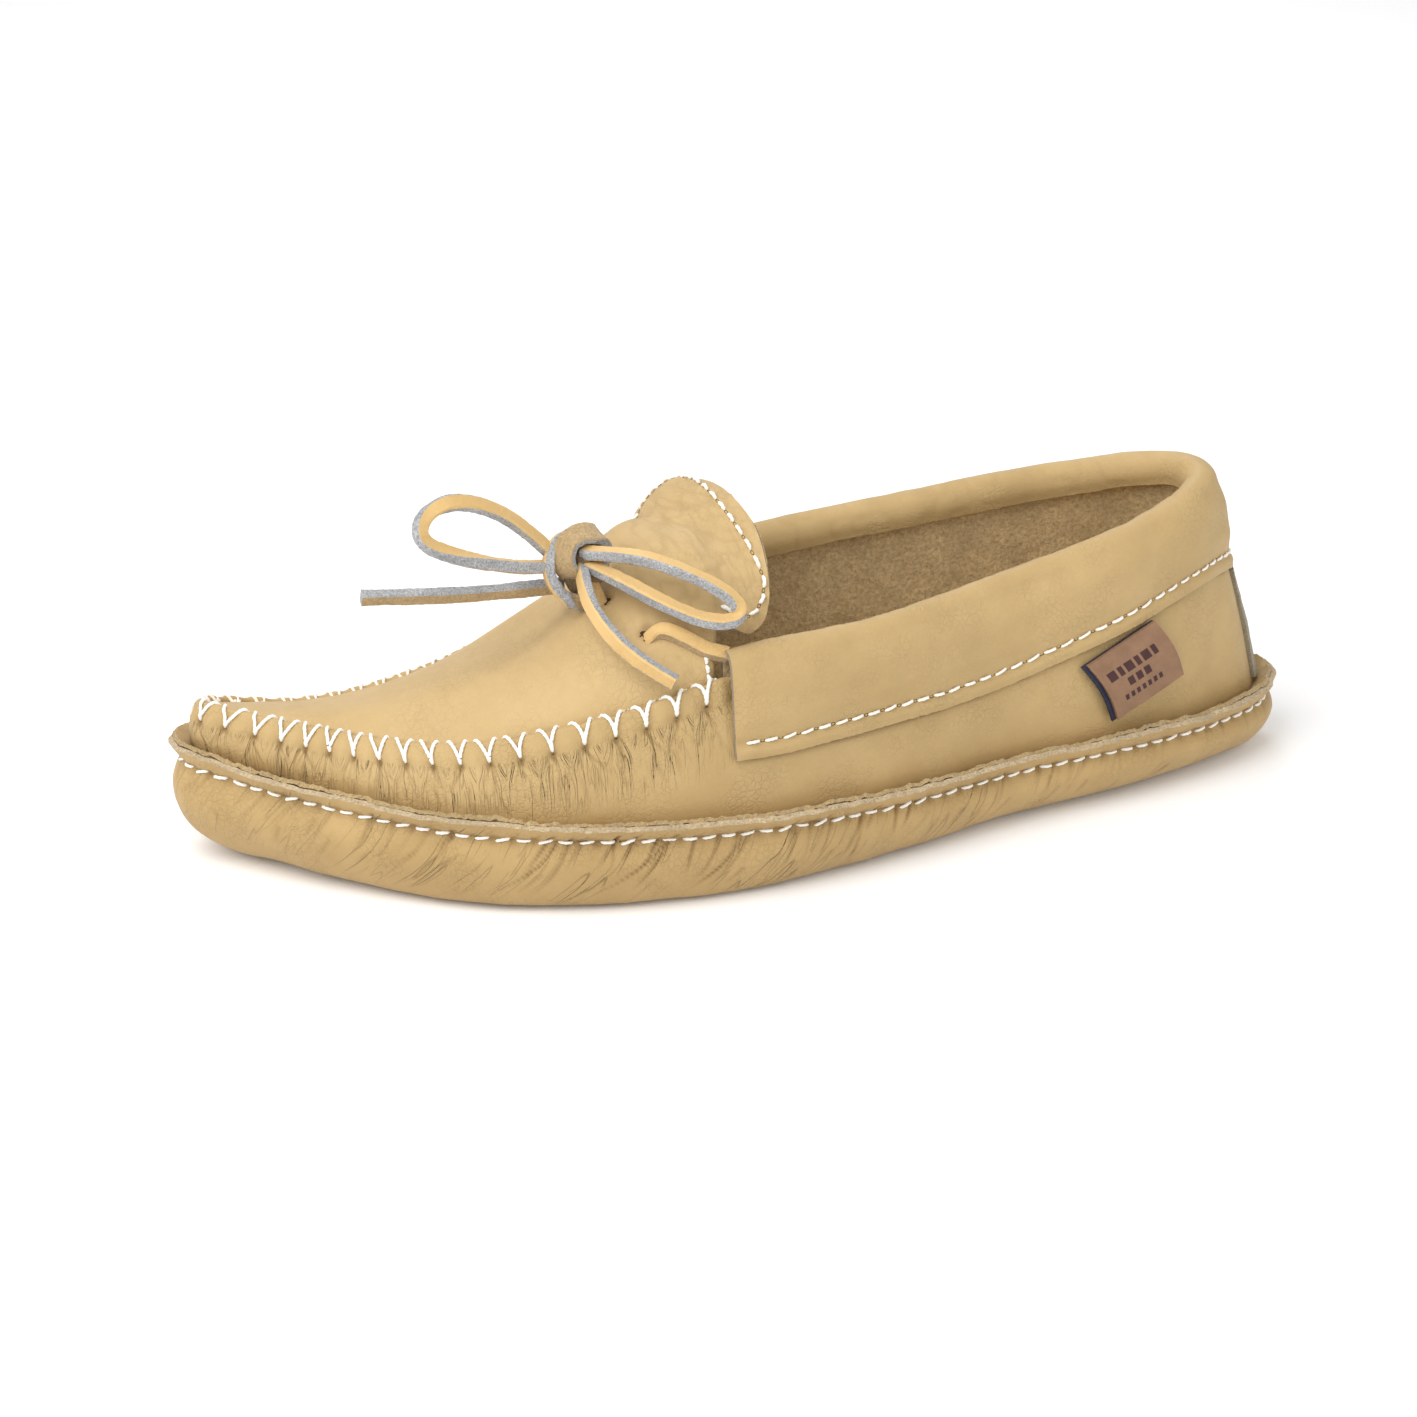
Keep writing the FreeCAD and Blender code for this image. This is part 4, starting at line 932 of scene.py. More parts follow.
def make_wall():
    """The wall of the upper: creased below its stitches, pinched into a scalloped ridge on top."""
    shares = wall_shares()
    ring = around(shares)
    line = wall_line(ring)
    inner = shift(line, UPPER)
    wander = ruffle(shares, 3) + ruffle(shares, 31) * 0.7
    edge_point = sole_line(ring)[:, -1]
    away = (line[:, 0] - edge_point) / (SOLE + UPPER)
    inner[:, 0] = edge_point + away * (EDGE_OF_SOLE + EDGE_GAP) + wander
    line[:, 0] = inner[:, 0] + away * EDGE_OF_WALL
    front = front_weight(shares)
    side_rise = ring.top + 0.35 * MM * front
    crown = line_of(ring, (-ring.inset, ring.top), (-ring.inset - 0.15 * MM, side_rise),
                    (-ring.inset - UPPER * 0.5, ring.top + 0.6 * MM * front + 0.1 * MM),
                    (-ring.inset - UPPER * 0.9, side_rise), (-ring.inset - UPPER, ring.top))
    face_rows, flange_rows, crown_rows = 38, 4, 7
    edge_keys = [inner[:, 0], (inner[:, 0] + line[:, 0]) / 2, line[:, 0]]
    edge = space(ring, curve(np.stack(edge_keys, axis=1), 4))
    edge = rag(edge, 0.8 * MM, 0.35 * MM, 17)
    flange = space(ring, curve(line[:, :2], flange_rows))
    flange[:, 0] = edge[:, -1]
    face = space(ring, curve(line[:, 1:], face_rows))
    ridge = space(ring, curve(crown, crown_rows))
    inside_keys = np.concatenate([crown[:, -1:], inner[:, ::-1][:, 1:4], inner[:, :1]], axis=1)
    inside = space(ring, curve(inside_keys[:, :4], 8))
    hidden = space(ring, curve(inside_keys[:, 3:], 3))
    hidden[:, -1] = edge[:, 0]
    segments = [(edge, 1), (flange, 0), (face, 0), (ridge, 0), (inside, 2), (hidden, 1)]
    grid = Grid(segments, True, True, shares)
    first = edge.shape[1] - 1 + flange_rows - 1
    top_row = first + face_rows - 1
    last = top_row + crown_rows - 1
    outer = grid.points[:, first:last + 1]
    up = along_rows(outer)
    below = up[:, top_row - first][:, None] - up - HOLE_DROP
    gap, fan = whip_fan(shares, below)
    radius = np.hypot(gap, below)
    phase = gap / WHIP_PITCH
    ridge_zone = ease((HOLE_DROP * 0.15 - below) / (2.5 * MM)) * front[:, None]
    pillow = 0.5 - 0.5 * np.cos(2 * math.pi * phase)
    pit = np.exp(-(radius / (0.9 * MM)) ** 2) * front[:, None]
    pinch = 0.60 * MM * (1 - pillow) * np.exp(-(below / (2.2 * MM)) ** 2) * front[:, None]
    swell = 0.42 * MM * pillow * ridge_zone + 0.18 * MM * rough(outer, 8 * MM, 25) * ridge_zone
    lines = []
    for share, _ in WHIPS:
        lean = 1 if share < TOE_TIP else -1
        for _ in range(chance.integers(2, 4)):
            slope = -lean * 0.15 + chance.uniform(-0.9, 0.9)
            lines.append((share * ROUND + chance.normal(0, 0.25) * MM, chance.uniform(0.2, 0.8) * MM,
                          chance.uniform(3, 10) * MM, slope, chance.uniform(-15, 15),
                          chance.uniform(0.08, 0.18) * MM, chance.uniform(0.26, 0.45) * MM))
        for _ in range(2):
            lines.append((share * ROUND + chance.uniform(-3, 3) * MM, chance.uniform(4, 9) * MM,
                          chance.uniform(11, 17) * MM, -lean * chance.uniform(0.0, 0.5), 0,
                          chance.uniform(0.05, 0.12) * MM, chance.uniform(0.4, 0.7) * MM))
    cut = creases(shares * ROUND, below, lines) * ease(up / (2 * MM) - 0.5)
    soft = 0.16 * MM * rough(outer, (16 * MM, 16 * MM, 9 * MM), 27) * ease(up / (4 * MM))
    push = np.zeros(grid.points.shape[:2])
    push[:, first:last + 1] = swell + soft - cut - pinch - 0.6 * MM * pit
    grid.push(push)
    # Painted shade: darker in the creases, the whip holes' pits and the pinches, along the fold at the
    # wall's foot, and a painted shadow just under the cuff's lower edge.
    crease_foot = np.exp(-(up / (1.6 * MM)) ** 2)
    to_cuff = outer[..., 2] - ring.cuff[:, None] + 0.3 * MM
    cuff_shadow = np.exp(-(to_cuff / (0.8 * MM)) ** 2) * (1 - front[:, None])
    grid.shade[:, first:last + 1] = np.clip(cut / (0.38 * MM) + 0.9 * pit + 0.35 * pinch / MM
                                            + 0.55 * crease_foot + 0.8 * cuff_shadow, 0, 1)
    # Where the wall's fold lines show, fanning from the whip holes; the wall's leather sinks and darkens
    # them as painted shade.
    apart = np.maximum(ease((0.5 - np.abs(phase)) / 0.06), ease((below - 4 * MM) / (3 * MM)))
    grid.fold[:, first:last + 1, 0] = fan
    grid.fold[:, first:last + 1, 1] = below
    fading = 1 - ease((below - 7 * MM) / (13 * MM))
    grid.fold[:, first:last + 1, 2] = ease((below + 0.3 * MM) / MM) * fading * apart * front[:, None]
    piece = grid_object("upper_wall_leather", grid, [WALL_GRAIN, FUZZ_EDGE, INNER_SUEDE])
    settle(piece, "upper_leather", "upper_wall")
    return grid, first, top_row, last


wall_grid, WALL_FOOT, WALL_TOP, WALL_LAST = make_wall()


def wall_row(share, height):
    """The row of the wall's face at a height, for one share of the way round."""
    column = int(np.searchsorted(wall_grid.shares, share % 1.0)) % len(wall_grid.shares)
    heights = wall_grid.points[column, WALL_FOOT:WALL_TOP + 1, 2]
    return WALL_FOOT + float(np.interp(height, heights, np.arange(len(heights))))


# ---------------------------------------------------------------- plug and tongue
# Shares for the plug's middle line: along, across and height, then the bend of its cross-section.
CROWN = np.array([
    (0.978, -0.260, 0.505, 2.0),
    (0.920, -0.180, 0.485, 2.0),
    (0.856, -0.110, 0.510, 2.0),
    (0.790, -0.070, 0.575, 2.1),
    (0.722, -0.045, 0.660, 2.2),
    (0.665, -0.030, 0.815, 2.3),
    (0.592, -0.010, 0.985, 2.5),
])
# The tongue: along, crown height, half width, and the heights of its outer and inner edges.
TONGUE = np.array([
    (0.592, 0.985, 0.275, 0.810, 0.820),
    (0.567, 1.010, 0.278, 0.735, 0.925),
    (0.546, 1.035, 0.272, 0.715, 0.995),
    (0.528, 1.045, 0.215, 0.850, 1.015),
])
CROWN_LINE = curve(CROWN[None], 601)[0]
HINGE_GAP = 0.8 * MM
TONGUE_SKEW = 0.13
TONGUE_STRAIGHT, TONGUE_ROUNDNESS = 0.30, 0.62
TONGUE_BEND, TONGUE_FAR_BEND = 3.0, 2.1     # on the outer and the inner side
# How much more the plug bends on its inner side than on its outer one, along its length from the toe.
FAR_BEND_AT, FAR_BEND_MORE = (0, 0.3, 0.55, 0.8, 1), (0, 0, -0.3, -0.4, 1.0)
ACROSS = 181                # points across the plug and tongue
THIN_RIM = 0.4              # how much thinner the leather is at the rim
SHEET_ACROSS = np.linspace(1, -1, 97)       # where the sheets' rows lie, from the inner edge to the outer
PLUG_PARTS = np.concatenate([np.linspace(0.035, 0.12, 12)[:-1], np.linspace(0.12, 0.995, 150)])
HALF = np.sin(math.pi * (np.linspace(0, 1, ACROSS) - 0.5))


def arch(left, right, crown, bend, far_bend):
    """A cross-section from one edge over the crown to the other, with a bend for each side."""
    middle = (left + right) / 2
    bends = np.where(HALF > 0, far_bend, bend)
    rise = (1 - np.abs(HALF) ** bends) ** (2 / bends)
    return middle + np.outer(HALF / 2, right - left) + np.outer(rise, crown - middle)


def plug_edge(share):
    """A point of the plug's edge, just inside the ridge."""
    columns = around(share)
    offset = -columns.inset - UPPER - 0.1 * MM
    return np.array([*(columns.xy + columns.out * offset), columns.top - 0.6 * MM])


def throat_share(low, high):
    """How far round the plug's edge reaches the throat, found by halving."""
    throat_x = HEEL_X + LENGTH * CROWN[-1, 0]
    toeward = plug_edge(high)[0] > plug_edge(low)[0]
    for _ in range(30):
        middle = (low + high) / 2
        if (plug_edge(middle)[0] < throat_x) == toeward:
            low = middle
        else:
            high = middle
    return (low + high) / 2


THROAT_NEAR, THROAT_FAR = throat_share(0.2, 0.4), throat_share(0.6, 0.8)


def plug_section(part):
    """The plug's cross-section; part is 0 at the toe and 1 at the throat."""
    near = plug_edge(TOE_TIP + (THROAT_NEAR - TOE_TIP) * part)
    far = plug_edge(TOE_TIP + (THROAT_FAR - TOE_TIP) * part)
    row = CROWN_LINE[int(round(part * (len(CROWN_LINE) - 1)))]
    crown = np.array([HEEL_X + LENGTH * row[0], WIDTH * row[1], HEIGHT * row[2]])
    blend_ends = max(ease((0.17 - part) / 0.11), ease((part - 0.83) / 0.17))
    centre = np.array([(near[0] + far[0]) / 2, (near[1] + far[1]) / 2, crown[2]])
    far_bend = row[3] + np.interp(part, FAR_BEND_AT, FAR_BEND_MORE)
    return arch(near, far, crown + (centre - crown) * blend_ends, row[3], far_bend)


def tongue_section(index):
    """The tongue's cross-section at one of its stations."""
    along, height, half, near_foot, far_foot = TONGUE[index]
    x = HEEL_X + LENGTH * along - (HINGE_GAP if index == 0 else 0)
    skew = 0 if index == 0 else TONGUE_SKEW
    reach = WIDTH * half
    left = np.array([x - skew * reach, reach, HEIGHT * near_foot])
    right = np.array([x + skew * reach, -reach, HEIGHT * far_foot])
    return arch(left, right, np.array([x, 0, HEIGHT * height]), TONGUE_BEND, TONGUE_FAR_BEND)


def tongue_outline():
    """Shares along the tongue from its hinge to its round end, and its half width at each."""
    turn = np.linspace(0, math.pi / 2, 84)[:-1]
    along = np.linspace(0, TONGUE_STRAIGHT, 26)[:-1]
    half = np.ones(len(along))
    along = np.concatenate([along, TONGUE_STRAIGHT + (1 - TONGUE_STRAIGHT) * np.sin(turn)])
    return along, np.concatenate([half, np.cos(turn) ** TONGUE_ROUNDNESS])


def sheet_point(rows, along, across):
    """Points of a cross-section surface at shares along (0 to 1) and across (-1 to 1)."""
    count = rows.shape[1]
    place = np.clip(along * (count - 1), 0, count - 1.001)
    low = np.floor(place).astype(int)
    f = (place - low)[..., None]
    v = np.clip(np.arcsin(np.clip(across, -1, 1)) / math.pi + 0.5, 0, 1) * (ACROSS - 1)
    left = np.minimum(np.floor(v).astype(int), ACROSS - 2)
    g = (v - left)[..., None]

    def row(index):
        return rows[left, index] * (1 - g) + rows[left + 1, index] * g
    return row(low) * (1 - f) + row(low + 1) * f


def tongue_points():
    """The tongue's outer surface, from its hinge to its tip."""
    keys = np.stack([tongue_section(index) for index in range(len(TONGUE))], axis=1)
    along, half = tongue_outline()
    a = np.repeat(along[:, None], len(SHEET_ACROSS), axis=1)
    return sheet_point(curve(keys, 61), a, half[:, None] * SHEET_ACROSS[None])


def transverse_wrinkles(points, length, across, seed):
    """Ridged noise that runs across the foot."""
    field = 1 - np.abs(rough(points, (length, across, length), seed))
    return ease((field - 0.62) / 0.38)


# The lace's slots in the plug, in metres ahead of the back of the sole seam and across.
SLOTS = [np.array([HEEL_X + along, across]) for along, across in
         ((0.1830, 0.0238), (0.1878, 0.0090), (0.1830, -0.0238), (0.1878, -0.0090))]


def steady_normals(grid):
    """A grid's normals; the last rows, which close up at the tongue's tip, all take the one before them."""
    normals = grid.normals()
    middle, closing = normals.shape[1] // 2, 12
    normals[-closing:] = normals[-closing - 1, middle - closing:middle + closing + 1].mean(axis=0)
    return normals


def make_plug_and_tongue():
    """One piece of leather: the domed plug and, past its hinge line, the tongue."""
    plug = np.stack([plug_section(part) for part in PLUG_PARTS])
    tongue = tongue_points()
    v = SHEET_ACROSS
    take = (np.arcsin(v) / math.pi + 0.5) * (ACROSS - 1)
    low = np.minimum(np.floor(take).astype(int), ACROSS - 2)
    g = (take - low)[None, :, None]
    plug = plug[:, low] * (1 - g) + plug[:, low + 1] * g
    top = np.concatenate([plug, tongue[1:]], axis=0)
    join = len(plug)
    for _ in range(6):
        band = slice(join - 5, join + 5)
        top[band] = (top[join - 6:join + 4] + top[join - 4:join + 6] + 2 * top[band]) / 4
    grid = Grid([(top, 0)], False, False)
    toward = ease((top[..., 0] - (HEEL_X + 0.62 * LENGTH)) / (-0.05 * LENGTH))
    base = ease(1 - np.abs(top[..., 0] - (HEEL_X + 0.600 * LENGTH)) / (0.065 * LENGTH))
    wrinkle = transverse_wrinkles(top, 2.6 * MM, 15 * MM, 41) * (0.13 * base + 0.03)
    crinkle = transverse_wrinkles(top, 1.7 * MM, 6 * MM, 43) * toward * 0.08
    soft = 0.35 * rough(top, 22 * MM, 45) + 0.10 * rough(top, 7 * MM, 47)
    edge = np.ones(top.shape[:2])
    edge[:join] *= ease((1 - np.abs(v)) / 0.03)[None]
    push = (soft * edge - wrinkle - crinkle) * MM
    # Painted shade: darker in the wrinkles and in the lace's sunk slots.
    dark = 0.25 * wrinkle / 0.16 + 0.16 * crinkle / 0.08
    for slot in SLOTS:
        flat = top[..., :2] - slot
        turned = np.array([0.52, -0.85]) if slot[1] > 0 else np.array([0.52, 0.85])
        a = flat @ turned
        b = flat @ np.array([-turned[1], turned[0]])
        sink = np.exp(-(a / (1.9 * MM)) ** 4 - (b / (1.5 * MM)) ** 4)
        push -= 0.6 * MM * sink
        dark += 0.8 * sink
    thickness = UPPER * (1 - THIN_RIM * ease((np.abs(v) - 0.85) / 0.15))[None, :, None]
    under = top - steady_normals(grid) * thickness
    grid.push(push)
    top = grid.points
    closed = shell(top, under)
    across = top.shape[1]
    closed.rows = np.array([0] * across + [1] * across)
    closed.shade = np.concatenate([np.clip(dark, 0, 1), np.zeros_like(dark)], axis=1)
    piece = grid_object("plug_and_tongue_leather", closed, [PLUG_GRAIN, INNER_SUEDE], end_slot=0)
    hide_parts("plug", "tongue")
    return piece, grid, join


plug_piece, plug_grid, PLUG_JOIN = make_plug_and_tongue()


def make_tongue_lining():
    """The suede lining under the tongue, a little larger, so that its pale edge shows."""
    grow = 0.6 * MM
    points = tongue_points()[3:]
    rim = ease((np.abs(SHEET_ACROSS) - 0.85) / 0.15)[None]
    top = Grid([(points, 0)], False, False)
    inward = -steady_normals(top)
    points = points + inward * (UPPER * (1 - THIN_RIM * rim) + 0.05 * MM)[..., None]
    spread = unit(points - points.mean(axis=(0, 1)))
    spread[..., 2] *= 0.3
    tip = ease((np.arange(len(points)) - len(points) + 8) / 8)[:, None]
    points = points + spread * (np.maximum(rim, tip) * grow)[..., None]
    points = rag(points, 1.0 * MM, 0.10 * MM, 53)
    under = points + inward * LINING
    return grid_object("tongue_lining_suede", shell(points, under), [LINING_SUEDE], end_slot=0)


lining_piece = make_tongue_lining()
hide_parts("tongue_lining")


# ---------------------------------------------------------------- collar
COLLAR_COLUMNS = 620
CUFF_STITCH_UP = 4 * MM
collar_shares = np.linspace(CUFF_END - 1, CUFF_START, COLLAR_COLUMNS)


def make_collar():
    """The folded collar: a soft cuff, flat below its stitches, and a rolled top edge."""
    band = around(collar_shares)
    line = collar_line(band)
    to_end = np.minimum(collar_shares - (CUFF_END - 1), CUFF_START - collar_shares) * ROUND
    wave = np.stack([collar_shares * ROUND, np.zeros(COLLAR_COLUMNS), np.zeros(COLLAR_COLUMNS)], axis=1)
    line[:, 0, 1] += 0.35 * MM * rough(wave, 17 * MM, 61)
    inner = shift(line, CUFF)
    rows = 52
    outer = space(band, curve(line, rows))
    inside = space(band, curve(inner, rows))
    grid = shell(outer, inside)
    grid.rows = np.array([0] * (rows - 1) + [2] + [2] * (rows - 1) + [1])
    up = along_rows(outer)
    pinch = 0.55 * MM * np.exp(-((up - CUFF_STITCH_UP) / (1.0 * MM)) ** 2)
    puff = 0.9 * MM * ease((up - 5 * MM) / (5 * MM)) * ease((24 * MM - up) / (8 * MM))
    puff = puff + 0.40 * MM * np.exp(-((up - 1.9 * MM) / (1.0 * MM)) ** 2)
    soft = 0.28 * MM * rough(outer, 15 * MM, 63) + 0.12 * MM * rough(outer, 5 * MM, 65)
    over = ease((up - (up[:, -1:] - 14 * MM)) / (5 * MM))
    tucks = transverse_wrinkles(outer, 4.5 * MM, 14 * MM, 67) * over * 0.12 * MM
    end_fade = ease(to_end / (4 * MM))[:, None]
    push = np.zeros(grid.points.shape[:2])
    push[:, :rows] = (puff * end_fade + soft - pinch - tucks) * ease(up / (1.5 * MM) + 0.3)
    grid.push(push)
    grid.points[:, -1] = rag(grid.points[:, -1:], 0.7 * MM, 0.15 * MM, 69)[:, 0]
    grid.points[:, 0] = rag(grid.points[:, :1], 0.7 * MM, 0.12 * MM, 73)[:, 0]
    # Painted shade: darker in the stitch line's pinch and in the tucks of the roll.
    grid.shade[:, :rows] = np.clip(0.25 * pinch / MM + 0.8 * tucks / MM, 0, 1)
    piece = grid_object("collar_leather", grid, [GRAIN, CUFF_EDGE, INNER_SUEDE], end_slot=1)
    settle(piece, "upper_leather", "collar")
    return grid, up


collar_grid, collar_up = make_collar()

# ---------------------------------------------------------------- stitching
# Dark discs at every needle hole, in the near-black hole material: painted shade inside the holes.
holes_shoe = Bits()
thread_sole = Bits()
running_stitches(
    lambda share, side, lift: sole_grid.sample(share, SOLE_SEAM_ROW + side / (0.45 * MM), lift),
    SOLE_STITCHES, 0.0, 1.0, thread_sole, holes_shoe)
sole_thread = thread_sole.build("sole_seam_thread", THREAD_WHITE)
settle(sole_thread, "thread", "thread_sole_seam")

cuff_rows = np.array([np.interp(CUFF_STITCH_UP, column, np.arange(len(column))) for column in collar_up])


def cuff_sample(part, side, lift):
    """Points of the collar's stitch line, at shares of the way from its inner to its outer front end."""
    row = np.interp(part, np.linspace(0, 1, COLLAR_COLUMNS), cuff_rows)
    return collar_grid.sample(part, row + side / (0.7 * MM), lift)


thread_cuff = Bits()
cuff_length = (CUFF_START - CUFF_END + 1) * ROUND
running_stitches(cuff_sample, int(cuff_length / STITCH_PITCH), 0.006, 0.994, thread_cuff, holes_shoe,
                 0.37 * MM)
cuff_thread = thread_cuff.build("collar_thread", THREAD_WHITE)
settle(cuff_thread, "thread", "thread_collar")


# How high a whip stitch lies above the leather, in thread radii, along its way over the ridge.
WHIP_LIFTS = ((0.0, -0.9), (0.05, 0.1), (0.18, 0.75), (0.34, 0.9), (0.5, 0.9), (0.68, 0.9), (0.84, 0.95),
              (1.0, 0.9))


def whip_leg(share, pitch, side, radius):
    """One leg of a whip stitch: out of its hole, over the ridge and down to the plug."""
    over = share + side * 0.43 * pitch * chance.uniform(0.92, 1.04)
    hole_row = wall_row(share, around(share).top - HOLE_DROP * 0.80)
    span = WALL_LAST - hole_row
    late = chance.uniform(1.3, 2.3)
    path = []
    for part, lift in WHIP_LIFTS:
        here = share + (over - share) * part ** late
        path.append(wall_grid.sample(np.array([here]), np.array([hole_row + span * part]),
                                     np.array([lift * radius]))[0])
    columns = around(over)
    reach = 0.8 * MM * chance.uniform(0.85, 1.2)
    for step, drop in ((0.6, 0.1), (1.0, 1.2)):
        offset = -columns.inset - UPPER - reach * step
        xy = columns.xy + columns.out * offset
        path.append(np.array([*xy, columns.top + 0.25 * MM - drop * MM + plug_rise(over, reach * step)]))
    return curve(np.array(path)[None], 26)[0]


def plug_rise(share, reach):
    """How much the plug climbs from its edge toward the middle."""
    x = float(around(share).xy[0])
    steep = ease((HEEL_X + 0.80 * LENGTH - x) / (0.16 * LENGTH))
    return reach * 1.15 * float(steep)


thread_whip = Bits()
for whip_share, whip_pitch in WHIPS:
    rearness = 1 - float(ease((min(whip_share - CUFF_START, CUFF_END - whip_share) - 0.03) / 0.05))
    whip_radius = FINE_THREAD * 1.1 + (THICK_THREAD - FINE_THREAD * 1.1) * rearness
    for leg_side in (-1, 1):
        thread_whip.tube(whip_leg(whip_share, whip_pitch, leg_side, whip_radius), whip_radius)
    row = wall_row(whip_share, around(whip_share).top - HOLE_DROP * 0.84)
    spots = wall_grid.sample(whip_share + 0.0008 * np.array([-1, 0, 1]), np.full(3, row), np.zeros(3))
    above = wall_grid.sample(np.array([whip_share]), np.array([row]), np.array([MM]))[0]
    holes_shoe.dimple(spots[1], unit(above - spots[1]), spots[2] - spots[0], 0.75 * MM, 0.6 * MM)
whip_thread = thread_whip.build("ridge_whip_thread", THREAD_WHITE)
settle(whip_thread, "thread", "thread_plug_seam")


TACK_PART, TACK_LONG = 0.975, 1.4 * MM
TACK_STARTS = (1.0 * MM, 3.2 * MM, 5.4 * MM)


def corner_tacks():
    """Three short tacks, one above the other, at each rear corner of the plug."""
    tacks = Bits()
    column = int(np.argmin(np.abs(PLUG_PARTS - TACK_PART)))
    climb = along_rows(plug_grid.points[column][None])[0]
    rows = np.arange(len(climb))
    for edge_row, edge_climb in ((rows, climb), (rows[::-1], (climb[-1] - climb)[::-1])):
        for start in TACK_STARTS:
            parts = np.array([0.0, 0.15, 0.5, 0.85, 1.0])
            places = np.interp(start + TACK_LONG * parts, edge_climb, edge_row)
            lifts = THICK_THREAD * np.array([-0.8, 0.4, 0.9, 0.4, -0.8])
            path = plug_grid.sample(np.full(5, column / (len(plug_grid.points) - 1)), places, lifts)
            tacks.tube(curve(path[None], 12)[0], THICK_THREAD)
    return tacks.build("corner_tack_thread", THREAD_WHITE)


tack_thread = corner_tacks()
settle(tack_thread, "thread", "thread_corner_tacks")



def nearest_on_plug(xy):
    """The plug's grid place nearest to a point, seen from above."""
    distance = np.linalg.norm(plug_grid.points[..., :2] - xy, axis=-1)
    return np.unravel_index(distance.argmin(), distance.shape)


plug_normals = plug_grid.normals()
# Dark discs in the lace's slots: painted shade inside the slots.
for slot in SLOTS:
    nearest = nearest_on_plug(slot)
    slot_normal = plug_normals[nearest]
    holes_shoe.dimple(plug_grid.points[nearest] + 0.15 * MM * slot_normal, slot_normal,
                      np.array([0.52, -0.85 * np.sign(slot[1]), 0]), 2.6 * MM, 1.5 * MM)
holes_piece = holes_shoe.build("needle_holes", HOLE_DARK)
settle(holes_piece, "upper_leather")


def tongue_route():
    """Grid places along the tongue's stitch line, 4 mm inside its edge."""
    inside = 4.0 * MM
    first, last = PLUG_JOIN + 6, len(plug_grid.points) - 1
    top = plug_grid.points
    columns = top.shape[1]
    left, right = [], []
    for index in range(first, last):
        width = lengths(top[index])
        back = np.linalg.norm(top[index, columns // 2] - top[last, columns // 2])
        if width[-1] < 4.4 * inside or back < inside:
            break
        left.append((index, np.interp(inside, width, np.arange(columns))))
        right.append((index, np.interp(width[-1] - inside, width, np.arange(columns))))
    return left + right[::-1]


def tongue_stitches():
    """The tongue's row of stitches and its needle holes."""
    places = np.array(tongue_route(), float)
    spots = plug_grid.sample(places[:, 0] / (len(plug_grid.points) - 1), places[:, 1])
    length = lengths(spots)
    count = int(length[-1] / TONGUE_PITCH)

    def sample(part, side, lift):
        at = part * length[-1]
        column = np.interp(at, length, places[:, 0]) / (len(plug_grid.points) - 1)
        row = np.interp(at, length, places[:, 1]) + side / (0.8 * MM)
        return plug_grid.sample(column, row, lift)
    threads, holes = Bits(), Bits()
    running_stitches(sample, count, 0.0, 1.0, threads, holes, THICK_THREAD, 0.70)
    return threads.build("tongue_thread", THREAD_WHITE), holes.build("tongue_needle_holes", HOLE_DARK)


tongue_thread, tongue_holes = tongue_stitches()
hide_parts("thread_tongue")
for bending in (plug_piece, lining_piece, tongue_thread, tongue_holes):
    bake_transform(bending)


# ---------------------------------------------------------------- lace
def spots_at(*places):
    """Listed points, given in mm ahead of the back of the sole seam, across and up."""
    return [np.array([HEEL_X + x * MM, y * MM, z * MM]) for x, y, z in places]


def smooth_route(points):
    """Points read from one NURBS spline whose control points are a route."""
    line = bpy.data.curves.new("route", "CURVE")
    line.dimensions = "3D"
    line.resolution_u = 14
    spline = line.splines.new("NURBS")
    spline.points.add(len(points) - 1)
    for control, point in zip(spline.points, points):
        control.co = (*point, 1)
    spline.order_u = 3
    spline.use_endpoint_u = True
    holder = add_object("route", line)
    mesh = bpy.data.meshes.new_from_object(holder)
    path = np.array([vertex.co for vertex in mesh.vertices], float)
    bpy.data.objects.remove(holder)
    bpy.data.meshes.remove(mesh)
    return path


def evenly(path, spacing):
    """The same line with evenly spaced points."""
    length = lengths(path)
    at = np.linspace(0, length[-1], max(int(length[-1] / spacing), 2) + 1)
    return np.stack([np.interp(at, length, path[:, axis]) for axis in range(3)], axis=1), length[-1]


def section_points(wide, thick, rows=5):
    """A rectangle with rounded corners: (side, face) pairs and the material of each stretch."""
    corner = 0.16 * min(wide, thick)
    a, b = wide / 2, thick / 2
    points, slots = [], []
    for (x0, y0), (x1, y1), slot in (((a, -b), (a, b), 1), ((a, b), (-a, b), 0), ((-a, b), (-a, -b), 1),
                                     ((-a, -b), (a, -b), 2)):
        run = math.hypot(x1 - x0, y1 - y0)
        for f in np.linspace(corner / run, 1 - corner / run, rows):
            points.append((x0 + (x1 - x0) * f, y0 + (y1 - y0) * f))
            slots.append(slot)
    return np.array(points), np.array(slots)


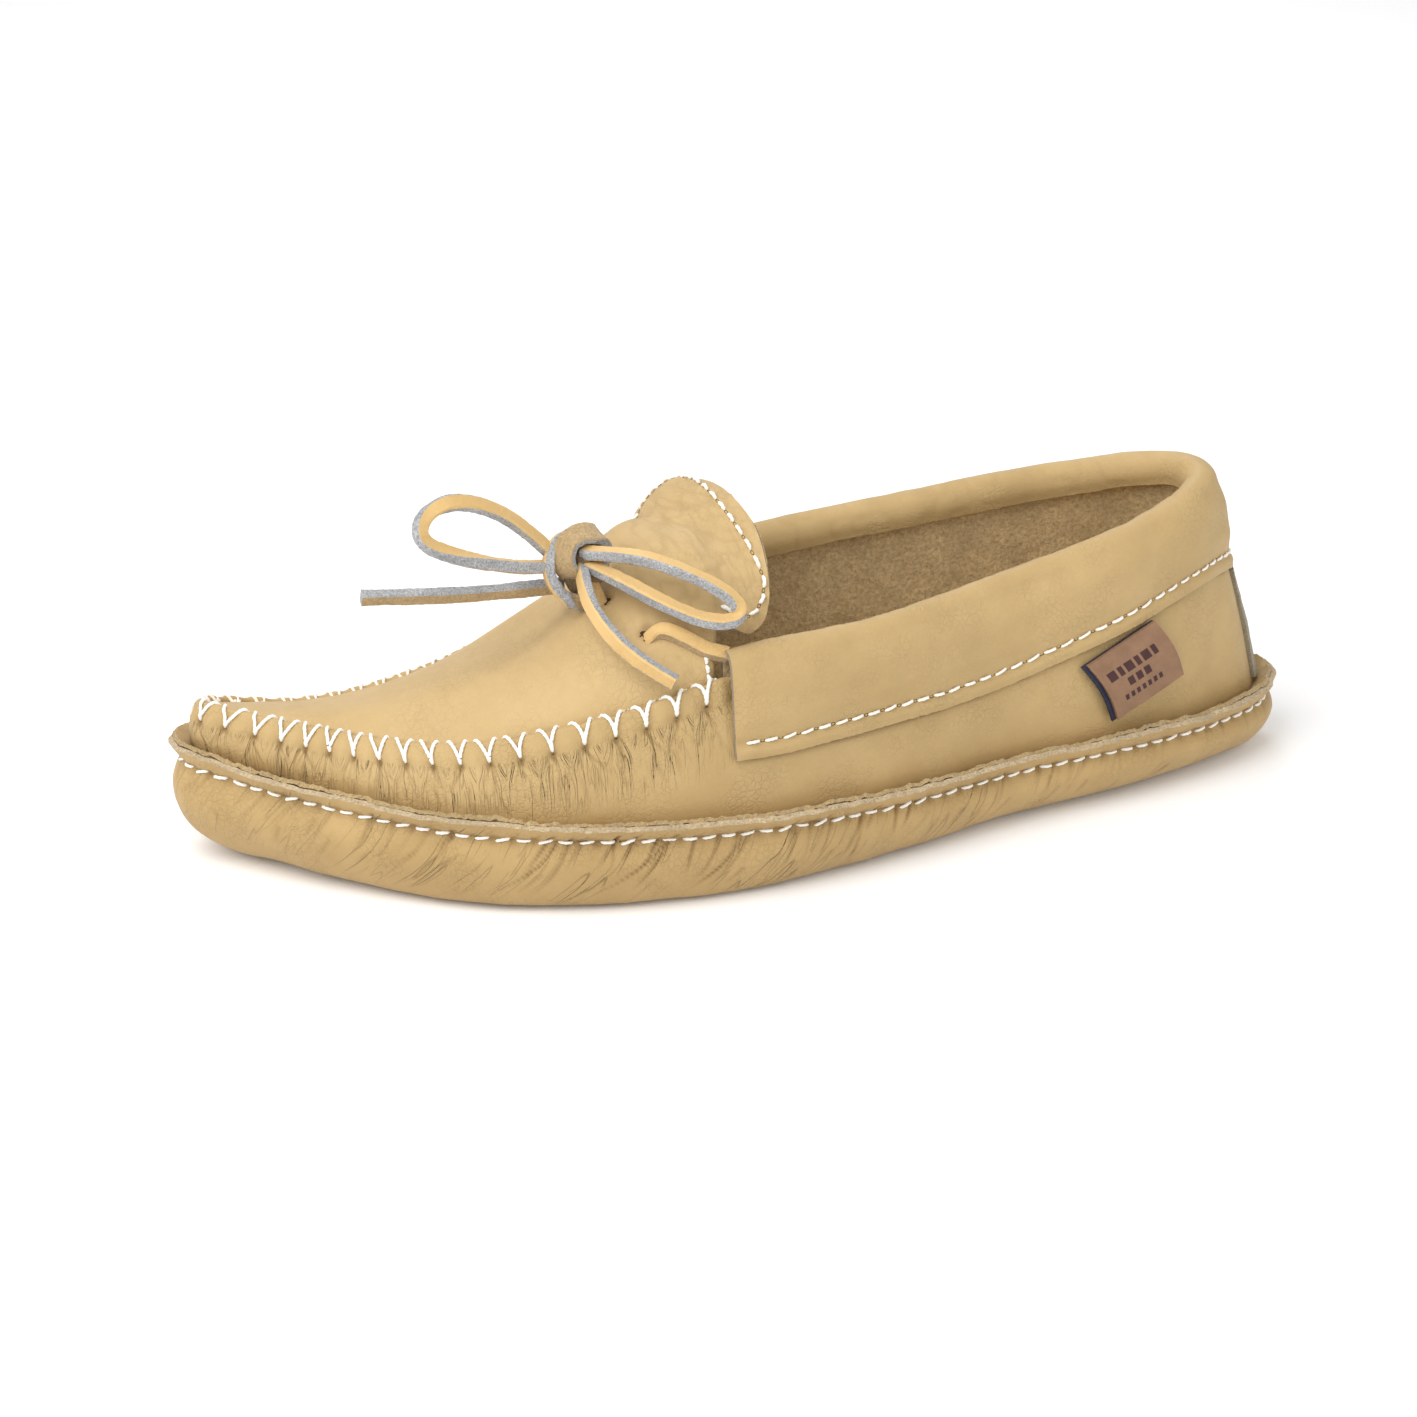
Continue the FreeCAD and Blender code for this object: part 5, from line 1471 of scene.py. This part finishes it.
def ribbon(name, path, gold, wide=LACE_WIDE, thick=LACE_THICK, materials=None, closed=False, seed=0):
    """A cut thong along a path; gold holds the directions of its grain face, from start to end."""
    path, length = evenly(path, 0.45 * MM)
    if closed:
        path = path[:-1]
        tangent = unit(np.roll(path, -1, axis=0) - np.roll(path, 1, axis=0))
    else:
        tangent = unit(np.gradient(path, axis=0))
    gold = np.atleast_2d(np.asarray(gold, float))
    at, keys = np.linspace(0, 1, len(path)), np.linspace(0, 1, len(gold))
    face = np.stack([np.interp(at, keys, gold[:, axis]) for axis in range(3)], axis=1)
    face = unit(face - tangent * np.sum(face * tangent, axis=1, keepdims=True))
    side = np.cross(tangent, face)
    section, slots = section_points(wide, thick)
    vary = 1 + 0.06 * rough(path, 7 * MM, seed)[:, None]
    points = (path[:, None] + (section[None, :, :1] * vary[..., None]) * side[:, None]
              + (section[None, :, 1:] * vary[..., None]) * face[:, None])
    points = rag(points, 0.9 * MM, 0.09 * MM, seed + 5)
    materials = materials or [LACE_GRAIN, LACE_CUT, LACE_FLESH]
    columns, rows = points.shape[:2]
    faces, low = grid_faces(columns, rows, closed, True)
    faces, face_slots = faces.tolist(), slots[low].tolist()
    if not closed:
        faces += [list(range(rows)), [columns * rows - 1 - k for k in range(rows)]]
        face_slots += [1, 1]
    shade = np.zeros((columns, rows))
    return make_mesh(name, points, faces, face_slots, materials, shade, sharp=40), length


LOOP_LEFT = spots_at((197.0, 2.0, 75.2), (206.5, 4.0, 85.8), (217.5, 6.0, 93.2),
                     (227.0, 7.5, 95.6), (233.5, 8.5, 92.6), (234.0, 9.0, 87.0),
                     (227.0, 9.5, 82.9), (216.0, 9.0, 78.8), (205.0, 5.5, 75.2), (195.5, 1.5, 73.4))
LOOP_RIGHT = spots_at((191.5, 5.0, 77.0), (184.0, 16.0, 79.2), (176.0, 24.0, 77.6),
                      (167.5, 30.5, 73.6), (163.0, 34.3, 69.4), (164.6, 35.2, 65.8),
                      (171.6, 32.2, 66.0), (180.0, 26.0, 69.8), (186.0, 18.5, 73.2),
                      (191.0, 5.0, 74.2))
TAIL_LEFT = spots_at((195.5, 1.5, 68.2), (213.0, -1.0, 67.8), (229.0, -2.0, 68.9),
                     (244.5, -4.5, 70.0))
TAIL_RIGHT = spots_at((192.0, 5.0, 73.6), (195.4, 15.2, 70.8), (194.4, 24.0, 65.4),
                      (189.2, 31.9, 58.8), (181.5, 37.8, 54.0))
KNOT = spots_at((191.5, 3.5, 74.0))[0]

UPPER_STRAND, LOOP_END, LOWER_STRAND = facing(0, 0.55, 0.84), facing(0.6, 0.1, 0.8), facing(0, 0.93, 0.35)
LEFT_FACES = [UPPER_STRAND, UPPER_STRAND, LOOP_END, LOWER_STRAND, LOWER_STRAND]
for cord_name, route, gold, far_end in (
        ("bow_loop_left", LOOP_LEFT, LEFT_FACES, "object"),
        ("bow_loop_right", LOOP_RIGHT, [facing(0, 0.82, 0.55)], "object"),
        ("bow_tail_left", TAIL_LEFT, [facing(0, 0.68, -0.73)], "bare"),
        ("bow_tail_right", TAIL_RIGHT, [facing(-0.55, -0.35, 0.75)], "bare")):
    cord_path = smooth_route(route)
    cord_piece, cord_length = ribbon(cord_name + "_lace", cord_path, gold, seed=len(cord_name))
    settle(cord_piece, "lace", cord_name)


def collar_run_route():
    """The lace inside the roll, from its outer front end round the heel to its inner one."""
    inside = 0.003
    at = np.linspace(CUFF_START - inside, CUFF_END - 1 + inside, 61)
    tube = around(at)
    u, w = roll_centre(tube)
    return space(tube, line_of(tube, (u, w)))[:, 0]


RUN_OVER = spots_at((166.2, 33.5, 57.2), (170.8, 31.6, 59.5), (175.6, 29.0, 61.7),
                    (179.8, 26.2, 63.2), (183.6, 22.6, 58.6), (187.6, 10.0, 62.0),
                    (190.0, 6.5, 69.0), (191.0, 4.5, 73.0))
RUN_LIFT = 1.2 * MM         # how far the run's middle lies above the plug


def front_run_route(side):
    """From inside the collar's end over the plug, down one slot and up the next to the knot."""
    keys = np.array([point * (1, side, 1) for point in RUN_OVER])
    for key in keys[1:4]:
        key[2] = plug_grid.points[nearest_on_plug(key[:2])][2] + RUN_LIFT
    return curve(keys[None], 160)[0]


for lace_name, lace_path, gold, lace_sides in (
        ("lace_collar_run", collar_run_route(), (0, 0, 1), LACE_CUT),
        ("lace_left_run", front_run_route(1), (0.2, 0.5, 0.85), LACE_FLESH),
        ("lace_right_run", front_run_route(-1), (0.2, -0.5, 0.85), LACE_FLESH)):
    lace_piece, _ = ribbon(lace_name + "_thong", lace_path, gold, seed=len(lace_name) + 40,
                           materials=[LACE_GRAIN, lace_sides, LACE_FLESH])
    settle(lace_piece, "lace", lace_name)


def knot_point(right, up, toward):
    """A point of the knot, given in mm in the main view's own directions."""
    return KNOT + MM * facing(right, up, toward)


OVER_BAND = [(4.6, 5.2, -1.8), (3.8, 6.6, 0.4), (0.0, 6.8, 3.0), (-3.1, 4.5, 4.8), (-4.2, 0.9, 5.0),
             (-3.0, -2.4, 3.0), (0.2, -3.2, -1.8), (3.2, -1.0, -4.2), (4.8, 2.4, -4.0)]
SIDE_BAND = [(-3.5, 6.0, 1.0), (-6.3, 4.2, 3.0), (-7.6, 0.9, 4.2), (-7.4, -3.3, 4.0), (-5.5, -6.7, 3.4),
             (-2.3, -9.2, 2.2), (0.5, -9.4, -1.0)]


BAND_WIDTH, BAND_THICKNESS = 5.6 * MM, 2.2 * MM
CORE_WIDTH, CORE_HEIGHT, CORE_DEPTH = 5.8 * MM, 7.0 * MM, 4.0 * MM     # half sizes, as the camera sees it


def over_band():
    """The band of lace that goes once round the knot, flesh side out."""
    keys = np.array([knot_point(*place) for place in OVER_BAND])
    looped = np.concatenate([keys[-2:], keys, keys[:3]])
    path = curve(looped[None], 300)[0]
    start = int(np.argmin(np.linalg.norm(path[:80] - keys[0], axis=1)))
    end = len(path) - 100 + int(np.argmin(np.linalg.norm(path[-100:] - keys[0], axis=1)))
    path = path[start:end + 1]
    path[-1] = path[0]
    middle = keys.mean(axis=0)
    outward_faces = []
    for point in path[::6]:
        nearness = float(ease((point - middle) @ TO_CAMERA / (4 * MM) + 0.5))
        outward_faces.append(unit(unit(point - middle) + 0.9 * nearness * TO_CAMERA))
    piece, _ = ribbon("knot_over_band", path, outward_faces, BAND_WIDTH, BAND_THICKNESS,
                      [LACE_FLESH, LACE_CUT, LACE_FLESH], closed=True, seed=71)
    return piece


def make_knot():
    """The tied knot: a rough band over the top, a strand down its side, and a dark lump in painted shade
    for the strands inside.
    """
    side_path = curve(np.array([knot_point(*place) for place in SIDE_BAND])[None], 120)[0]
    side, _ = ribbon("knot_side_band", side_path, facing(-1, 0.15, 0.2), seed=77)
    core = bmesh.new()
    bmesh.ops.create_uvsphere(core, u_segments=48, v_segments=32, radius=1.0)
    centre = Vector(knot_point(0.2, 0.3, -0.4))
    for vertex in core.verts:
        wrinkle = 1 + 0.12 * math.sin(5 * vertex.co.x + 3 * vertex.co.z) + 0.05 * math.sin(11 * vertex.co.z)
        spread = facing(CORE_WIDTH * vertex.co.x, CORE_HEIGHT * vertex.co.z, CORE_DEPTH * vertex.co.y)
        vertex.co = centre + Vector(spread) * wrinkle
    bmesh.ops.recalc_face_normals(core, faces=core.faces)
    mesh = bpy.data.meshes.new("knot_core")
    core.to_mesh(mesh)
    core.free()
    mesh.polygons.foreach_set("use_smooth", np.ones(len(mesh.polygons), bool))
    mesh.materials.append(KNOT_DARK)
    inside = add_object("knot_core", mesh)
    return over_band(), side, inside


knot_pieces = make_knot()
for knot_piece in knot_pieces:
    settle(knot_piece, "lace")
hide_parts("bow_knot")


# ---------------------------------------------------------------- heel strip and label
def make_heel_strip():
    """A narrow suede strip over the back seam, with a sunk line down each side."""
    strip = 8.0 * MM / ROUND
    low = float(around(0).seam) + FLANGE_RISE + 1.0 * MM
    high = float(around(0).cuff) - 0.5 * MM
    columns = np.linspace(-strip, 1.3 * strip, 33)
    places = around(columns)
    rows = np.linspace(low, high, 90)
    outer = np.empty((33, 90, 3))
    for index, height in enumerate(rows):
        crown = 1.7 * MM - 0.5 * MM * np.abs(np.linspace(-1, 1, 33)) ** 4
        offset = wall_offset(places, height) + crown
        outer[:, index] = space(places, line_of(places, (offset, height)))[:, 0]
    sheet = Grid([(outer, 0)], False, False)
    across = np.linspace(-1, 1, 33)[:, None]
    seams = np.exp(-((np.abs(across) - 0.62) / 0.1) ** 2)
    sheet.push(0.12 * MM * rough(outer, 2.5 * MM, 81) - 0.30 * MM * seams)
    inner = outer - sheet.normals() * 1.2 * MM
    piece = grid_object("heel_strip_suede", shell(sheet.points, inner), [STRIP_SUEDE], end_slot=0)
    settle(piece, "strip_suede", "heel_seam_strip")


make_heel_strip()
LABEL_WIDE, LABEL_DROP, LABEL_LEAN = 23 * MM, 17.6 * MM, 0.13
LABEL_HINGE = next(joint for joint in frame["joints"] if joint["name"] == "label_flap")
FORWARD = unit(np.array(LABEL_HINGE["axis"]))
OUTWARD = unit(np.array([-0.0964, 0.9924, 0.0764]))       # off the wall, square to the hinge
UPWARD = np.cross(FORWARD, OUTWARD)
LABEL_TOP = np.array(LABEL_HINGE["pos_m"]) - 1.8 * MM * OUTWARD


def label_sheet(left, right, low, high, lift, columns=60, rows=44):
    """A curled patch in the label's own plane: forward, down and off the wall, in metres."""
    x = np.linspace(left, right, columns)[:, None]
    y = np.linspace(low, high, rows)[None]
    down = -y / LABEL_DROP
    front = ease((x - 0.55 * LABEL_WIDE / 2) / (0.45 * LABEL_WIDE / 2))
    bow = 0.9 * MM * np.sin(math.pi * down)
    stand = lift + bow * (1 - front) + front * 1.1 * MM * np.sin(2.6 * down)
    stand = stand + 0.35 * MM * np.sin(math.pi * (x / LABEL_WIDE + 0.5)) * down
    ahead = x - bow + LABEL_LEAN * y
    return LABEL_TOP + ahead[..., None] * FORWARD + y[..., None] * UPWARD + stand[..., None] * OUTWARD


def plate(name, points, thick, material):
    """A patch with a thickness."""
    return grid_object(name, shell(points, points - OUTWARD * thick), [material], end_slot=0, sharp=40)


half_label = LABEL_WIDE / 2
backing = plate("label_backing_tape", label_sheet(-half_label, half_label, -LABEL_DROP, 0, 0.75 * MM),
                0.7 * MM, LABEL_NAVY)
face = plate("label_face_tape", label_sheet(-half_label, half_label - 1.2 * MM, -LABEL_DROP, 0, 1.75 * MM),
             0.95 * MM, LABEL_TAN)
settle(backing, "label_backing", "label_backing", body="label_tab")
settle(face, "label_face", "label_face", body="label_tab")


def label_marks():
    """Plain raised bars in three rows: a generic pattern with no lettering."""
    marks = Bits()
    rows = ((-4.6, 2.7, (2.4, 1.4) * 3), (-8.6, 2.3, (1.8,) * 3), (-12.6, 1.5, (1.0,) * 7))
    for level, tall, bars in rows:
        gap = 0.8
        width = sum(bars) + gap * (len(bars) - 1)
        x = 0.4 + width / 2
        for bar in bars:
            left, right = (x - bar) * MM, x * MM
            patch = label_sheet(left, right, (level - tall) * MM, level * MM, 1.80 * MM, 8, 6)
            lower = patch - OUTWARD * 0.2 * MM
            ringed = np.concatenate([patch, lower[:, ::-1]], axis=1)
            faces, _ = grid_faces(8, 12, False, True)
            ends = [[column * 12 + j, column * 12 + j + 1, column * 12 + 10 - j, column * 12 + 11 - j]
                    for column in (0, 7) for j in range(5)]
            marks.take(ringed.reshape(-1, 3), faces.tolist() + ends)
            x -= bar + gap
    return marks.build("label_face_marks", LABEL_MARKS)


settle(label_marks(), "label_face", body="label_tab")


# ---------------------------------------------------------------- floor, light and camera
def make_stage():
    """A plain pale floor."""
    mesh = bpy.data.meshes.new("floor")
    reach = 3.0
    mesh.from_pydata([(-reach, -reach, 0), (reach, -reach, 0), (reach, reach, 0), (-reach, reach, 0)], [],
                     [(0, 1, 2, 3)])
    n = Nodes("pale_floor")
    n.set(Base_Color=(0.93, 0.93, 0.93, 1), Emission_Color=(1, 1, 1, 1), Emission_Strength=0.06)
    n.set(Roughness=0.9, Specular_IOR_Level=0.1)
    mesh.materials.append(n.material)
    add_object("floor", mesh)


def area_light(name, place, target, size, power):
    """A round soft light that faces a target."""
    data = bpy.data.lights.new(name, "AREA")
    data.shape = "DISK"
    data.size = size
    data.energy = power
    light = add_object(name, data)
    light.location = place
    light.rotation_mode = "QUATERNION"
    light.rotation_quaternion = (Vector(target) - Vector(place)).to_track_quat("-Z", "Y")


def make_light():
    """A white world and three soft lights."""
    world = bpy.data.worlds.new("studio")
    bpy.context.scene.world = world
    world.use_nodes = True
    world.node_tree.nodes["Background"].inputs["Color"].default_value = (1.0, 1.0, 1.0, 1)
    world.node_tree.nodes["Background"].inputs["Strength"].default_value = 0.55
    middle = (0.02, 0.0, 0.03)
    area_light("key_softbox", (0.75, 0.25, 0.95), middle, 1.3, 14.5)
    area_light("fill_softbox", (-0.5, 1.0, 0.75), middle, 0.9, 4.0)
    area_light("rim_softbox", (-0.4, -0.9, 0.8), middle, 0.6, 3.0)


def make_camera():
    """The view from the outer side and a little in front, in true perspective."""
    data = bpy.data.cameras.new("camera")
    camera = add_object("camera", data)
    camera.location = Vector(CAMERA_TARGET) + Vector(TO_CAMERA) * CAMERA_DISTANCE
    camera.rotation_mode = "QUATERNION"
    camera.rotation_quaternion = (-Vector(TO_CAMERA)).to_track_quat("-Z", "Y")
    data.sensor_width, data.lens = SENSOR_MM, LENS_MM
    data.clip_start, data.clip_end = 0.01, 100
    bpy.context.scene.camera = camera


make_stage()
make_light()
make_camera()
bpy.context.scene.view_settings.view_transform = "Standard"
